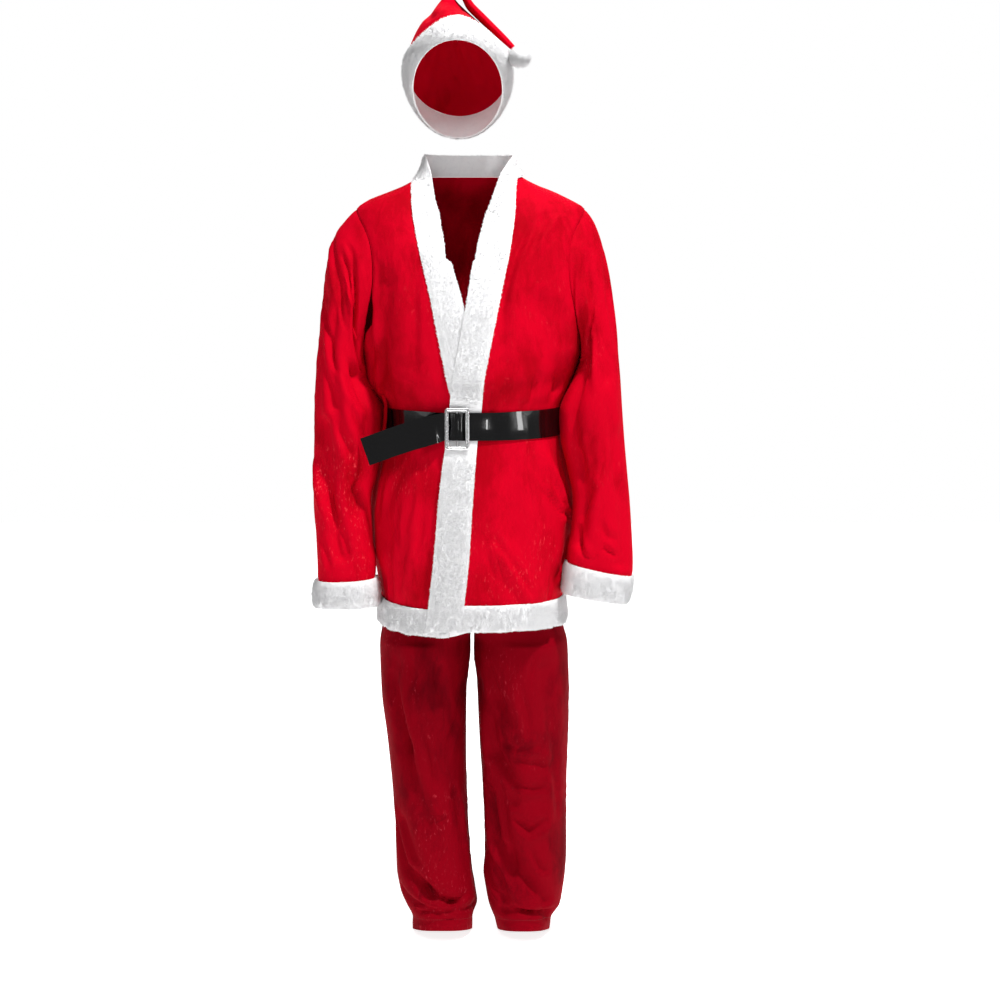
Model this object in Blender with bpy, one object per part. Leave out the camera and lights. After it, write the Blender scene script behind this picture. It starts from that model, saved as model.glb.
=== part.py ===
"""A Santa suit in the hollow form it has on a standing wearer: jacket with white plush trim, belt with a
slide buckle, trousers and the matching hat. Metres, +Z up, the front faces -Y and the wearer's left is +X.
The origin lies between the shoulders, where the neck of the jacket is carried."""

import math

import bmesh
import bpy
import numpy as np

CLOTH = 0.0016  # red crushed velvet, the thickness of every wall
PILE = 0.0045  # how far plush stands out from its backing
SEAM = 0.0003  # gap between two pieces
PLY_GAP = 0.0008  # gap between two plies that lie on each other

ARMPIT = -0.285  # heights on the side of the jacket
SHOULDER = -0.041
NECK_SEAM = 0.016
NECK_TOP = 0.054
HEM_SEAM = -0.733
HEM = -0.782
ARMHOLE_FRONT = 0.070  # half widths of the armhole, seen from the side
ARMHOLE_BACK = 0.080
RIGHT_FRONT_HANGS = 0.012  # the under front's hem lies lower

BELT_HEIGHT = -0.415
BELT_WIDTH = 0.050
BELT_THICKNESS = 0.0014
BELT_GAP = 0.0006
BUCKLE_X = -0.0232
BUCKLE_Z = -0.4185
BUCKLE_WIDTH = 0.043
BUCKLE_HEIGHT = 0.0735
BUCKLE_BAR = 0.0070
BUCKLE_THICKNESS = 0.0036
BUCKLE_CHAMFER = 0.0009
BUCKLE_CORNER = 0.0060
BUCKLE_RAISED = 0.0060  # its back lies this far above the first ply of the strap
CENTRE_BAR_WIDTH = 0.0034
CENTRE_BAR_THICKNESS = 0.0020
CENTRE_BAR_RAISED = 0.0002
CENTRE_BAR_SUNK = 0.0020  # how far it runs into the frame at each end
BUCKLE_CLEARANCE = 0.004  # the strap's free columns start this far beside the buckle
STRAP_START = (-0.0200, -0.0320, -0.0440)  # X of the strap's first columns, behind the buckle
LOOP_WIDTH = 0.010
LOOP_THICKNESS = 0.0020
LOOP_PLACES = {"right": -61, "left": 104}  # degrees round the jacket
WAIST_REACH = 0.155  # half the waist's width, which turns a loop's width into an angle

WAIST_SEAM = BELT_HEIGHT - BELT_WIDTH / 2
WAIST_TOP = WAIST_SEAM + 0.038
CROTCH = -0.810
CROTCH_RISE = 0.150  # the height over which the two legs part
FRONT_BREAK = 0.022  # how far a boot lifts the front of the hem

POMPOM_CENTRE = (0.0847, -0.0392, 0.2197)
POMPOM_RADIUS = 0.0195
POMPOM_CORE = 0.0125


def rows(names, values):
    """A table with named columns, one row for each section, edge point or fold."""
    return dict(zip(names.split(), np.array(values, float).T))


# The jacket's sections from hem to neck. right and left are half widths, front and back are how far it
# reaches in Y, side is the Y of its widest point and mid the X of its middle. sink lowers the front.
TORSO = rows(
    "h right left front back side mid square sink",
    [
        (-0.800, 0.1685, 0.1685, 0.146, 0.148, 0.015, 0.000, 2.3, -0.008),
        (-0.782, 0.1685, 0.1685, 0.146, 0.148, 0.015, 0.000, 2.3, -0.008),
        (-0.733, 0.1680, 0.1655, 0.147, 0.150, 0.015, 0.000, 2.3, -0.006),
        (-0.690, 0.1745, 0.1690, 0.147, 0.150, 0.012, 0.000, 2.3, -0.004),
        (-0.640, 0.1860, 0.1810, 0.146, 0.148, 0.008, 0.000, 2.3, -0.002),
        (-0.585, 0.1880, 0.1860, 0.144, 0.144, 0.010, 0.000, 2.3, 0.000),
        (-0.530, 0.1815, 0.1815, 0.140, 0.136, 0.016, 0.000, 2.3, 0.000),
        (-0.480, 0.1720, 0.1700, 0.134, 0.124, 0.022, 0.000, 2.3, 0.000),
        (-0.438, 0.1630, 0.1610, 0.129, 0.111, 0.026, 0.000, 2.3, 0.000),
        (-0.413, 0.1610, 0.1595, 0.127, 0.109, 0.026, 0.000, 2.3, 0.000),
        (-0.388, 0.1625, 0.1610, 0.1285, 0.111, 0.026, 0.000, 2.3, 0.000),
        (-0.360, 0.1800, 0.1715, 0.1360, 0.126, 0.022, -0.002, 2.3, 0.000),
        (-0.335, 0.1880, 0.1825, 0.140, 0.132, 0.020, -0.003, 2.3, 0.000),
        (-0.310, 0.1905, 0.1900, 0.138, 0.134, 0.014, -0.004, 2.3, 0.001),
        (-0.285, 0.1930, 0.1950, 0.135, 0.134, 0.000, -0.005, 2.3, 0.003),
        (-0.220, 0.1990, 0.2010, 0.126, 0.132, 0.000, -0.008, 2.3, 0.009),
        (-0.150, 0.2050, 0.2060, 0.112, 0.126, 0.000, -0.010, 2.3, 0.020),
        (-0.100, 0.2090, 0.2080, 0.098, 0.115, 0.000, -0.012, 2.3, 0.032),
        (-0.060, 0.2100, 0.2070, 0.080, 0.100, 0.004, -0.012, 2.3, 0.042),
        (-0.041, 0.2040, 0.2000, 0.070, 0.090, 0.005, -0.012, 2.3, 0.046),
        (-0.025, 0.1830, 0.1780, 0.061, 0.079, 0.005, -0.012, 2.3, 0.050),
        (-0.012, 0.1500, 0.1490, 0.054, 0.069, 0.005, -0.012, 2.3, 0.053),
        (0.000, 0.1210, 0.1180, 0.050, 0.062, 0.005, -0.012, 2.3, 0.055),
        (0.016, 0.0960, 0.0900, 0.047, 0.058, 0.005, -0.012, 2.2, 0.055),
        (0.034, 0.0860, 0.0790, 0.045, 0.056, 0.005, -0.012, 2.1, 0.055),
        (0.060, 0.0800, 0.0730, 0.044, 0.055, 0.005, -0.012, 2.0, 0.055),
    ],
)

# Front edges: X of the seam between velvet and plush, and of the plush band's free edge.
FRONT_EDGES = rows(
    "z left_seam left_free right_seam right_free",
    [
        (-0.800, -0.018, -0.080, -0.040, 0.018),
        (-0.726, -0.012, -0.072, -0.036, 0.021),
        (-0.649, -0.004, -0.064, -0.034, 0.024),
        (-0.543, 0.003, -0.055, -0.031, 0.026),
        (-0.438, 0.0115, -0.0425, -0.0295, 0.026),
        (-0.377, 0.0190, -0.0365, -0.0327, 0.020),
        (-0.351, 0.0205, -0.0335, -0.0385, 0.016),
        (-0.283, 0.0327, -0.0220, -0.0529, 0.003),
        (-0.197, 0.0500, -0.0067, -0.0702, -0.0154),
        (-0.103, 0.0692, 0.0077, -0.0923, -0.0415),
        (-0.035, 0.0772, 0.0200, -0.1040, -0.0500),
        (0.020, 0.0790, 0.0300, -0.1060, -0.0560),
    ],
)

# Where the plush band turns from the chest on to the neck: the free edge beside each seam height.
NECK_TURN = rows(
    "seam_h left_angle right_angle free_h",
    [
        (-0.102, 10.5, -18.0, -0.102),
        (-0.0695, 15.0, -22.0, -0.067),
        (-0.0484, 20.0, -27.0, -0.045),
        (-0.041, 23.0, -30.0, -0.036),
        (-0.025, 30.0, -36.0, -0.018),
        (-0.010, 40.0, -45.0, 0.000),
        (0.004, 50.0, -54.0, 0.018),
        (0.016, 60.0, -63.0, 0.035),
    ],
)

# Sleeve sections from the armhole to the cuff's edge, measured from the jacket's middle: the outer and
# the inner point, the middle's Y and half the depth.
SLEEVE_NAMES = "out_x out_z in_x in_z y deep square"
LEFT_SLEEVE = rows(
    SLEEVE_NAMES,
    [
        (0.2000, -0.041, 0.1950, -0.285, 0.005, 0.075, 2.0),
        (0.2165, -0.064, 0.1954, -0.293, 0.004, 0.074, 2.0),
        (0.2290, -0.094, 0.1956, -0.301, 0.001, 0.072, 2.1),
        (0.2400, -0.140, 0.1945, -0.311, -0.003, 0.070, 2.2),
        (0.2490, -0.195, 0.1895, -0.323, -0.009, 0.067, 2.2),
        (0.2560, -0.255, 0.1810, -0.340, -0.018, 0.064, 2.3),
        (0.2620, -0.320, 0.1690, -0.365, -0.029, 0.061, 2.3),
        (0.2670, -0.385, 0.1580, -0.402, -0.037, 0.058, 2.3),
        (0.2720, -0.440, 0.1590, -0.445, -0.038, 0.056, 2.3),
        (0.2770, -0.500, 0.1705, -0.497, -0.042, 0.053, 2.3),
        (0.2810, -0.560, 0.1815, -0.552, -0.047, 0.050, 2.3),
        (0.2850, -0.620, 0.1785, -0.607, -0.053, 0.047, 2.3),
        (0.2870, -0.660, 0.1720, -0.642, -0.057, 0.045, 2.3),
        (0.2860, -0.689, 0.1690, -0.664, -0.060, 0.042, 2.2),
        (0.2830, -0.713, 0.1665, -0.692, -0.062, 0.041, 2.2),
        (0.2760, -0.738, 0.1630, -0.719, -0.062, 0.041, 2.2),
    ],
)
RIGHT_SLEEVE = rows(
    SLEEVE_NAMES,
    [
        (0.2040, -0.041, 0.1930, -0.285, 0.005, 0.075, 2.0),
        (0.2220, -0.060, 0.1936, -0.293, 0.004, 0.074, 2.0),
        (0.2420, -0.087, 0.1940, -0.301, 0.001, 0.072, 2.1),
        (0.2545, -0.128, 0.1930, -0.311, -0.003, 0.070, 2.2),
        (0.2630, -0.190, 0.1900, -0.323, -0.009, 0.067, 2.2),
        (0.2690, -0.255, 0.1875, -0.340, -0.017, 0.064, 2.3),
        (0.2750, -0.320, 0.1755, -0.365, -0.029, 0.061, 2.3),
        (0.2780, -0.385, 0.1590, -0.402, -0.037, 0.059, 2.3),
        (0.2790, -0.440, 0.1600, -0.445, -0.038, 0.057, 2.3),
        (0.2810, -0.500, 0.1685, -0.500, -0.042, 0.054, 2.3),
        (0.2820, -0.560, 0.1835, -0.556, -0.047, 0.051, 2.3),
        (0.2780, -0.620, 0.1800, -0.618, -0.053, 0.047, 2.3),
        (0.2760, -0.665, 0.1720, -0.662, -0.057, 0.045, 2.3),
        (0.2770, -0.697, 0.1710, -0.692, -0.060, 0.043, 2.2),
        (0.2800, -0.720, 0.1690, -0.716, -0.062, 0.042, 2.2),
        (0.2790, -0.744, 0.1680, -0.742, -0.062, 0.042, 2.2),
    ],
)
CUFF_SEAM_ROW = 13
ARMHOLE_FADE_ROWS = 5  # over these rows a sleeve turns from the armhole's shape into its own

# Trouser legs from hem to crotch: outer and inner X, front and back Y.
LEG_NAMES = "h out inn front back square"
LEFT_LEG = rows(
    LEG_NAMES,
    [
        (-1.368, 0.142, 0.044, 0.080, 0.084, 2.1),
        (-1.345, 0.146, 0.038, 0.079, 0.084, 2.1),
        (-1.318, 0.162, 0.029, 0.080, 0.085, 2.1),
        (-1.290, 0.167, 0.024, 0.078, 0.086, 2.1),
        (-1.255, 0.171, 0.020, 0.078, 0.087, 2.1),
        (-1.215, 0.173, 0.023, 0.079, 0.088, 2.1),
        (-1.120, 0.172, 0.020, 0.084, 0.090, 2.1),
        (-1.010, 0.174, 0.013, 0.093, 0.094, 2.1),
        (-0.895, 0.176, 0.009, 0.103, 0.104, 2.1),
        (-0.830, 0.174, 0.002, 0.111, 0.113, 2.1),
        (-0.780, 0.164, 0.002, 0.114, 0.118, 2.1),
    ],
)
RIGHT_LEG = rows(
    LEG_NAMES,
    [
        (-1.368, 0.113, 0.001, 0.078, 0.084, 2.1),
        (-1.345, 0.113, 0.000, 0.078, 0.084, 2.1),
        (-1.318, 0.124, -0.008, 0.079, 0.085, 2.1),
        (-1.290, 0.135, -0.004, 0.078, 0.086, 2.1),
        (-1.255, 0.141, 0.002, 0.078, 0.087, 2.1),
        (-1.215, 0.143, 0.006, 0.079, 0.088, 2.1),
        (-1.120, 0.147, 0.011, 0.084, 0.090, 2.1),
        (-1.010, 0.156, 0.013, 0.093, 0.094, 2.1),
        (-0.915, 0.167, 0.012, 0.102, 0.103, 2.1),
        (-0.830, 0.170, 0.004, 0.111, 0.113, 2.1),
        (-0.780, 0.164, 0.003, 0.114, 0.118, 2.1),
    ],
)

# The trousers' seat above the crotch.
HIP = rows(
    "h side front back square",
    [
        (-0.815, 0.1680, 0.115, 0.120, 2.2),
        (-0.780, 0.1635, 0.117, 0.122, 2.2),
        (-0.730, 0.1590, 0.119, 0.126, 2.2),
        (-0.660, 0.1610, 0.120, 0.128, 2.2),
        (-0.600, 0.1620, 0.119, 0.124, 2.2),
        (-0.520, 0.1580, 0.118, 0.113, 2.3),
        (-0.440, 0.1530, 0.122, 0.106, 2.3),
    ],
)

# The hat from its lower edge along the crown, over the fold and down to the tip: the middle of each
# section, and the ways from there to its front and to its left side.
HAT = rows(
    "x y z front_y front_z left_x left_z sag_right sag_left",
    [
        (-0.0240, -0.0090, 0.1650, -0.0845, 0.0790, 0.0790, 0.0000, 0.0000, 0.0000),
        (-0.0240, -0.0020, 0.1790, -0.0885, 0.0795, 0.0885, 0.0000, 0.0040, 0.0040),
        (-0.0240, 0.0065, 0.1925, -0.0910, 0.0800, 0.0930, 0.0000, 0.0080, 0.0080),
        (-0.0240, 0.0160, 0.2055, -0.0925, 0.0795, 0.0930, 0.0000, 0.0115, 0.0125),
        (-0.0290, 0.0330, 0.2330, -0.0900, 0.0620, 0.0800, 0.0000, 0.0030, 0.0140),
        (-0.0325, 0.0420, 0.2600, -0.0780, 0.0440, 0.0640, 0.0000, 0.0000, 0.0130),
        (-0.0355, 0.0460, 0.2840, -0.0600, 0.0280, 0.0450, 0.0000, 0.0000, 0.0100),
        (-0.0380, 0.0470, 0.3040, -0.0420, 0.0160, 0.0280, -0.0010, 0.0000, 0.0060),
        (-0.0395, 0.0450, 0.3220, -0.0320, 0.0080, 0.0130, -0.0020, 0.0000, 0.0020),
        (-0.0365, 0.0415, 0.3350, -0.0290, 0.0040, 0.0050, -0.0035, 0.0000, 0.0000),
        (-0.0260, 0.0370, 0.3395, -0.0280, 0.0020, 0.0000, -0.0055, 0.0000, 0.0000),
        (-0.0145, 0.0310, 0.3320, -0.0270, 0.0000, -0.0040, -0.0050, 0.0000, 0.0000),
        (-0.0030, 0.0220, 0.3130, -0.0250, 0.0000, -0.0055, -0.0055, 0.0000, 0.0000),
        (0.0160, 0.0120, 0.2930, -0.0220, 0.0000, -0.0055, -0.0055, 0.0000, 0.0000),
        (0.0365, 0.0010, 0.2725, -0.0190, 0.0000, -0.0055, -0.0050, 0.0000, 0.0000),
        (0.0562, -0.0135, 0.2530, -0.0120, 0.0000, -0.0050, -0.0045, 0.0000, 0.0000),
        (0.0735, -0.0290, 0.2350, -0.0070, 0.0000, -0.0040, -0.0035, 0.0000, 0.0000),
    ],
)
HAT_BAND_ROW = 3

# Large folds: from one place to another on a piece, with the trough's width and depth. Angles are in
# degrees round the piece, and a negative depth is a ridge.
FOLD_NAMES = "angle_a h_a angle_b h_b width depth"
JACKET_FOLDS = rows(
    FOLD_NAMES,
    [
        (-58, -0.16, -62, -0.34, 0.017, 0.01),
        (-40, -0.13, -30, -0.30, 0.024, 0.005),
        (-66, -0.30, -38, -0.375, 0.017, 0.0085),
        (-52, -0.46, -60, -0.62, 0.022, 0.0085),
        (-30, -0.50, -38, -0.70, 0.024, -0.005),
        (-74, -0.47, -78, -0.68, 0.019, 0.007),
        (30, -0.08, 22, -0.30, 0.019, 0.005),
        (40, -0.10, 27, -0.34, 0.017, -0.005),
        (52, -0.20, 60, -0.36, 0.022, 0.0085),
        (30, -0.35, 66, -0.34, 0.017, 0.005),
        (8, -0.58, 40, -0.72, 0.019, -0.007),
        (48, -0.46, 66, -0.58, 0.017, -0.0085),
        (64, -0.46, 74, -0.66, 0.019, 0.0085),
        (20, -0.46, 26, -0.60, 0.026, 0.005),
        (112, -0.14, 120, -0.34, 0.024, 0.0085),
        (150, -0.16, 146, -0.36, 0.026, 0.007),
        (176, -0.10, 182, -0.33, 0.029, 0.007),
        (214, -0.15, 206, -0.35, 0.024, 0.0085),
        (246, -0.16, 240, -0.35, 0.022, 0.0085),
        (128, -0.46, 120, -0.70, 0.026, 0.012),
        (158, -0.46, 154, -0.66, 0.024, 0.0085),
        (190, -0.45, 194, -0.72, 0.029, 0.012),
        (222, -0.46, 232, -0.68, 0.024, 0.01),
        (250, -0.47, 254, -0.70, 0.022, 0.0085),
    ],
)
HEM_WAVES = rows(
    FOLD_NAMES,
    [
        (-62, -0.800, -62, -0.757, 0.006, 0.004),
        (-55, -0.800, -55, -0.757, 0.005, -0.003),
        (-48, -0.800, -47, -0.755, 0.006, 0.004),
        (-40, -0.800, -39, -0.757, 0.006, -0.004),
        (-33, -0.800, -33, -0.757, 0.005, 0.004),
        (28, -0.800, 29, -0.760, 0.007, 0.003),
        (58, -0.800, 58, -0.757, 0.006, 0.004),
        (67, -0.800, 66, -0.757, 0.006, -0.003),
        (112, -0.800, 112, -0.757, 0.008, 0.005),
        (140, -0.800, 141, -0.757, 0.009, -0.004),
        (166, -0.800, 165, -0.757, 0.008, 0.005),
        (197, -0.800, 198, -0.757, 0.009, 0.005),
        (224, -0.800, 224, -0.757, 0.008, -0.004),
        (250, -0.800, 250, -0.757, 0.007, 0.005),
    ],
)

# On a sleeve the angle runs from its outer side (0) over the front (90) to the inner side (180), and
# the height is the number of the row.
RIGHT_SLEEVE_FOLDS = rows(
    FOLD_NAMES,
    [
        (62, 2.0, 66, 6.8, 0.014, 0.0105),
        (132, 5.0, 138, 9.4, 0.019, 0.0175),
        (50, 7.6, 84, 11.6, 0.015, 0.012),
        (112, 9.2, 126, 10.2, 0.013, 0.009),
        (30, 4.0, 36, 9.0, 0.015, 0.006),
        (250, 3.0, 262, 7.6, 0.018, 0.0105),
        (296, 6.0, 286, 11.4, 0.018, 0.009),
        (214, 7.6, 240, 10.6, 0.015, 0.009),
        (88, 14.4, 88, 16.0, 0.010, 0.0045),
        (140, 14.4, 141, 16.0, 0.010, 0.0045),
        (300, 14.4, 301, 16.0, 0.011, 0.0045),
    ],
)
LEFT_SLEEVE_FOLDS = rows(
    FOLD_NAMES,
    [
        (64, 1.6, 60, 6.0, 0.016, 0.0075),
        (122, 3.4, 134, 9.0, 0.018, 0.014),
        (96, 9.4, 140, 12.6, 0.015, -0.006),
        (124, 8.6, 136, 11.4, 0.015, 0.0105),
        (40, 8.0, 52, 12.2, 0.016, 0.006),
        (256, 3.0, 246, 7.8, 0.018, 0.0105),
        (300, 5.6, 290, 11.2, 0.018, 0.009),
        (222, 8.0, 236, 11.4, 0.015, 0.009),
        (70, 14.4, 70, 16.0, 0.010, 0.0045),
        (122, 14.4, 122, 16.0, 0.011, 0.0045),
        (282, 14.4, 282, 16.0, 0.011, 0.0045),
    ],
)
SLEEVE_ROW_STEP = 0.052  # metres from one sleeve row to the next, for the folds' heights

# On a leg the angle runs from the outer side (0) over the front (90) to the inner side (180).
RIGHT_LEG_FOLDS = rows(
    FOLD_NAMES,
    [
        (50, -0.82, 62, -1.00, 0.017, 0.0095),
        (62, -1.00, 86, -1.14, 0.017, 0.0095),
        (110, -0.86, 104, -1.05, 0.022, 0.0065),
        (40, -1.15, 80, -1.28, 0.017, 0.011),
        (80, -1.27, 120, -1.30, 0.013, 0.011),
        (20, -1.285, 84, -1.325, 0.012, 0.0095),
        (100, -1.325, 170, -1.320, 0.012, 0.0095),
        (270, -0.86, 262, -1.10, 0.024, 0.011),
        (300, -0.92, 306, -1.20, 0.022, 0.008),
        (236, -1.05, 250, -1.26, 0.019, 0.0095),
        (200, -1.292, 330, -1.300, 0.013, 0.0095),
        (215, -1.335, 300, -1.328, 0.012, 0.008),
    ],
)
LEFT_LEG_FOLDS = rows(
    FOLD_NAMES,
    [
        (128, -0.92, 108, -1.10, 0.016, 0.008),
        (136, -1.02, 112, -1.24, 0.016, 0.011),
        (112, -1.20, 56, -1.30, 0.014, 0.011),
        (60, -0.86, 70, -1.10, 0.024, 0.0065),
        (96, -1.02, 52, -1.04, 0.013, 0.0065),
        (150, -1.10, 120, -1.29, 0.014, 0.0095),
        (126, -1.318, 40, -1.332, 0.012, 0.0095),
        (270, -0.86, 276, -1.10, 0.024, 0.011),
        (304, -0.95, 296, -1.22, 0.022, 0.008),
        (238, -1.04, 252, -1.25, 0.019, 0.0095),
        (200, -1.296, 330, -1.290, 0.013, 0.0095),
        (220, -1.330, 310, -1.336, 0.012, 0.008),
    ],
)
HAT_FOLDS = rows(
    FOLD_NAMES,
    [
        (-30, 4.2, -60, 6.4, 0.011, 0.006),
        (20, 5.2, 60, 7.2, 0.010, 0.006),
        (150, 4.4, 170, 6.8, 0.011, 0.006),
        (225, 4.4, 210, 6.6, 0.011, 0.0045),
    ],
)
HAT_ROW_STEP = 0.034


# ------------------------------------------------------------------ curves and surfaces


def between(keys, values, at):
    """A table column read between its rows, on a smooth curve that does not overshoot."""
    margin = 0.01 * (keys[-1] - keys[0])
    at = np.clip(at, keys[0] - margin, keys[-1] + margin)
    step = np.diff(keys)
    slope = np.diff(values) / step
    lean = np.empty(len(keys))
    lean[0], lean[-1] = slope[0], slope[-1]
    product = slope[:-1] * slope[1:]
    total = np.where(product > 0, slope[:-1] + slope[1:], 1.0)
    lean[1:-1] = np.where(product > 0, 2 * product / total, 0.0)
    i = np.clip(np.searchsorted(keys, at, side="right") - 1, 0, len(keys) - 2)
    t = (at - keys[i]) / step[i]
    start = (1 + 2 * t) * (1 - t) ** 2 * values[i] + t * (1 - t) ** 2 * step[i] * lean[i]
    end = t * t * (3 - 2 * t) * values[i + 1] - t * t * (1 - t) * step[i] * lean[i + 1]
    return start + end


def read(table, key, at):
    """Every other column of a table at the given places of its key column."""
    return {name: between(table[key], table[name], at) for name in table if name != key}


def read_rows(table, at):
    """Every column of a table at fractional row numbers."""
    numbers = np.arange(len(next(iter(table.values()))), dtype=float)
    return {name: between(numbers, table[name], at) for name in table}


def fade(value, start, end):
    """0 before start, 1 after end, and smooth between them."""
    t = np.clip((value - start) / (end - start), 0, 1)
    return t * t * (3 - 2 * t)


def folded(table, angle, height, reach, step=1.0):
    """How deep the troughs of a fold table are at each place. reach turns angles into lengths."""
    total = np.zeros(np.broadcast(angle, height).shape)
    for row in zip(*table.values()):
        angle_a, h_a, angle_b, h_b, width, depth = row
        turn = (angle - math.radians(angle_a) + math.pi) % (2 * math.pi) - math.pi
        ahead = np.array([math.radians(angle_b - angle_a) * reach, (h_b - h_a) * step])
        across, up = turn * reach, (height - h_a) * step
        t = np.clip((across * ahead[0] + up * ahead[1]) / (ahead @ ahead), 0, 1)
        away = (across - t * ahead[0]) ** 2 + (up - t * ahead[1]) ** 2
        total += depth * np.exp(-away / width**2)
    return total


def normals(surface, u, v, step_u=1e-4, step_v=1e-4):
    """Unit normals of surface(u, v), by differences."""
    along = surface(u + step_u, v) - surface(u - step_u, v)
    up = surface(u, v + step_v) - surface(u, v - step_v)
    out = np.cross(along, up)
    return out / np.linalg.norm(out, axis=-1, keepdims=True)


def torso(angle, h, hang=0.0):
    """The smooth form of the jacket. Angle 0 is the front and 90 degrees the wearer's left side."""
    ring = read(TORSO, "h", h)
    sine, cosine = np.sin(angle), np.cos(angle)
    wide = np.where(sine > 0, ring["left"] - ring["mid"], ring["right"] + ring["mid"])
    deep = np.where(cosine > 0, ring["front"] + ring["side"], ring["back"] - ring["side"])
    power = ring["square"]
    reach = ((np.abs(sine) / wide) ** power + (np.abs(cosine) / deep) ** power) ** (-1 / power)
    drop = ring["sink"] + hang * fade(-h, 0.45, 0.78)
    z = h - drop * np.clip(cosine, 0, 1) ** 2
    return np.stack([ring["mid"] + reach * sine, ring["side"] - reach * cosine, z], axis=-1)


def angle_at(x, h):
    """The angle at which the front of the jacket has this X."""
    ring = read(TORSO, "h", h)
    wide = np.where(x > ring["mid"], ring["left"] - ring["mid"], ring["right"] + ring["mid"])
    share = np.clip(np.abs(x - ring["mid"]) / wide, 0, 0.999) ** ring["square"]
    y = (ring["front"] + ring["side"]) * (1 - share) ** (1 / ring["square"])
    return np.arctan2(x - ring["mid"], y)


def angle_beside(y, h, side):
    """The angle at which the jacket's side has this Y."""
    ring = read(TORSO, "h", h)
    wide = ring["left"] - ring["mid"] if side > 0 else ring["right"] + ring["mid"]
    deep = np.where(y < ring["side"], ring["front"] + ring["side"], ring["back"] - ring["side"])
    share = np.clip(np.abs(y - ring["side"]) / deep, 0, 0.999) ** ring["square"]
    return side * np.arctan2(wide * (1 - share) ** (1 / ring["square"]), ring["side"] - y)


def squeeze(h):
    """1 where plush stands free, and less under the belt."""
    return 1 - 0.6 * np.exp(-(((h - BELT_HEIGHT) / 0.050) ** 4))


def lap(angle, h):
    """How far the left front is carried out by the right front's plush band below it."""
    ply = PILE * squeeze(h) + CLOTH + PLY_GAP
    x = torso(angle, h)[..., 0]
    return ply * (1 - fade(x, 0.036, 0.088)) * (1 - fade(h, -0.20, -0.09))


def jacket_folds(angle, h):
    """Troughs in the jacket's cloth: none under the belt, on the yoke or where the fronts overlap."""
    calm = fade(np.abs(h - BELT_HEIGHT), 0.024, 0.075) * fade(-h, -SHOULDER, -SHOULDER + 0.06)
    x = torso(angle, h)[..., 0]
    fronts = fade(x, -0.100, -0.084) * (1 - fade(x, 0.040, 0.062)) * (np.cos(angle) > 0)
    single = 1 - fronts * (1 - fade(h, -0.20, -0.12))
    deep = calm * folded(JACKET_FOLDS, angle, h, 0.16) + folded(HEM_WAVES, angle, h, 0.16)
    return single * deep


def skin(side):
    """The outer face of the cloth and the way out from it: side -1 is the right front with the back, 1 the
    left front."""

    def face(angle, h):
        hang = RIGHT_FRONT_HANGS if side < 0 else 0.0
        base = torso(angle, h, hang)
        out = normals(lambda a, b: torso(a, b, hang), angle, h)
        lift = lap(angle, h) if side > 0 else 0.0
        return base + out * np.expand_dims(lift - jacket_folds(angle, h), -1), out

    return face


# ------------------------------------------------------------------ making solids


def draw_in(points, amount, sides):
    """Pulls the edges of a grid of points back by a small amount, so that neighbours stay apart."""
    moved = points.copy()
    edges = {
        "first_row": (np.s_[0], np.s_[1]),
        "last_row": (np.s_[-1], np.s_[-2]),
        "first_column": (np.s_[:, 0], np.s_[:, 1]),
        "last_column": (np.s_[:, -1], np.s_[:, -2]),
    }
    for side in sides:
        edge, inside = edges[side]
        back = points[inside] - points[edge]
        moved[edge] += amount * back / np.linalg.norm(back, axis=-1, keepdims=True)
    return moved


def wall(name, points, out, material, thickness=CLOTH, raised=0.0, around=False):
    """A closed wall over a grid of points: its outer face is raised and its inner face lies below."""
    row_count, column_count = points.shape[:2]
    outer = points + out * np.expand_dims(np.broadcast_to(raised, points.shape[:2]), -1)
    inner = points - out * thickness
    vertices = np.concatenate([outer.reshape(-1, 3), inner.reshape(-1, 3)])
    layer = row_count * column_count
    faces = []

    def at(i, j):
        return i * column_count + j % column_count

    last = column_count if around else column_count - 1
    for i in range(row_count - 1):
        for j in range(last):
            a, b, c, d = at(i, j), at(i, j + 1), at(i + 1, j + 1), at(i + 1, j)
            for p, q, r in ((a, b, c), (a, c, d)):  # split the same way, so the wall stays as thick
                faces.append((p, q, r))
                faces.append((layer + r, layer + q, layer + p))
    rims = [[(at(0, j), at(0, j + 1)) for j in range(last)]]
    rims.append([(at(row_count - 1, j + 1), at(row_count - 1, j)) for j in range(last)])
    if not around:
        rims.append([(at(i + 1, 0), at(i, 0)) for i in range(row_count - 1)])
        rims.append([(at(i, last), at(i + 1, last)) for i in range(row_count - 1)])
    for rim in rims:
        faces += [(b, a, layer + a, layer + b) for a, b in rim]
    return body(name, vertices, faces, material)


def body(name, vertices, faces, material):
    """One object from points and faces, with its faces pointing out."""
    mesh = bpy.data.meshes.new(name)
    mesh.from_pydata([tuple(map(float, v)) for v in vertices], [], faces)
    work = bmesh.new()
    work.from_mesh(mesh)
    bmesh.ops.recalc_face_normals(work, faces=work.faces)
    work.to_mesh(mesh)
    work.free()
    mesh.shade_smooth()
    mesh.set_sharp_from_angle(angle=math.radians(50))
    mesh.materials.append(material)
    made = bpy.data.objects.new(name, mesh)
    bpy.context.scene.collection.objects.link(made)
    return made


def finish(name, colour, roughness, metallic=0.0):
    material = bpy.data.materials.new(name)
    material.use_nodes = True
    shader = material.node_tree.nodes["Principled BSDF"]
    shader.inputs["Base Color"].default_value = (*colour, 1)
    shader.inputs["Roughness"].default_value = roughness
    shader.inputs["Metallic"].default_value = metallic
    return material


# ------------------------------------------------------------------ the jacket


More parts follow.
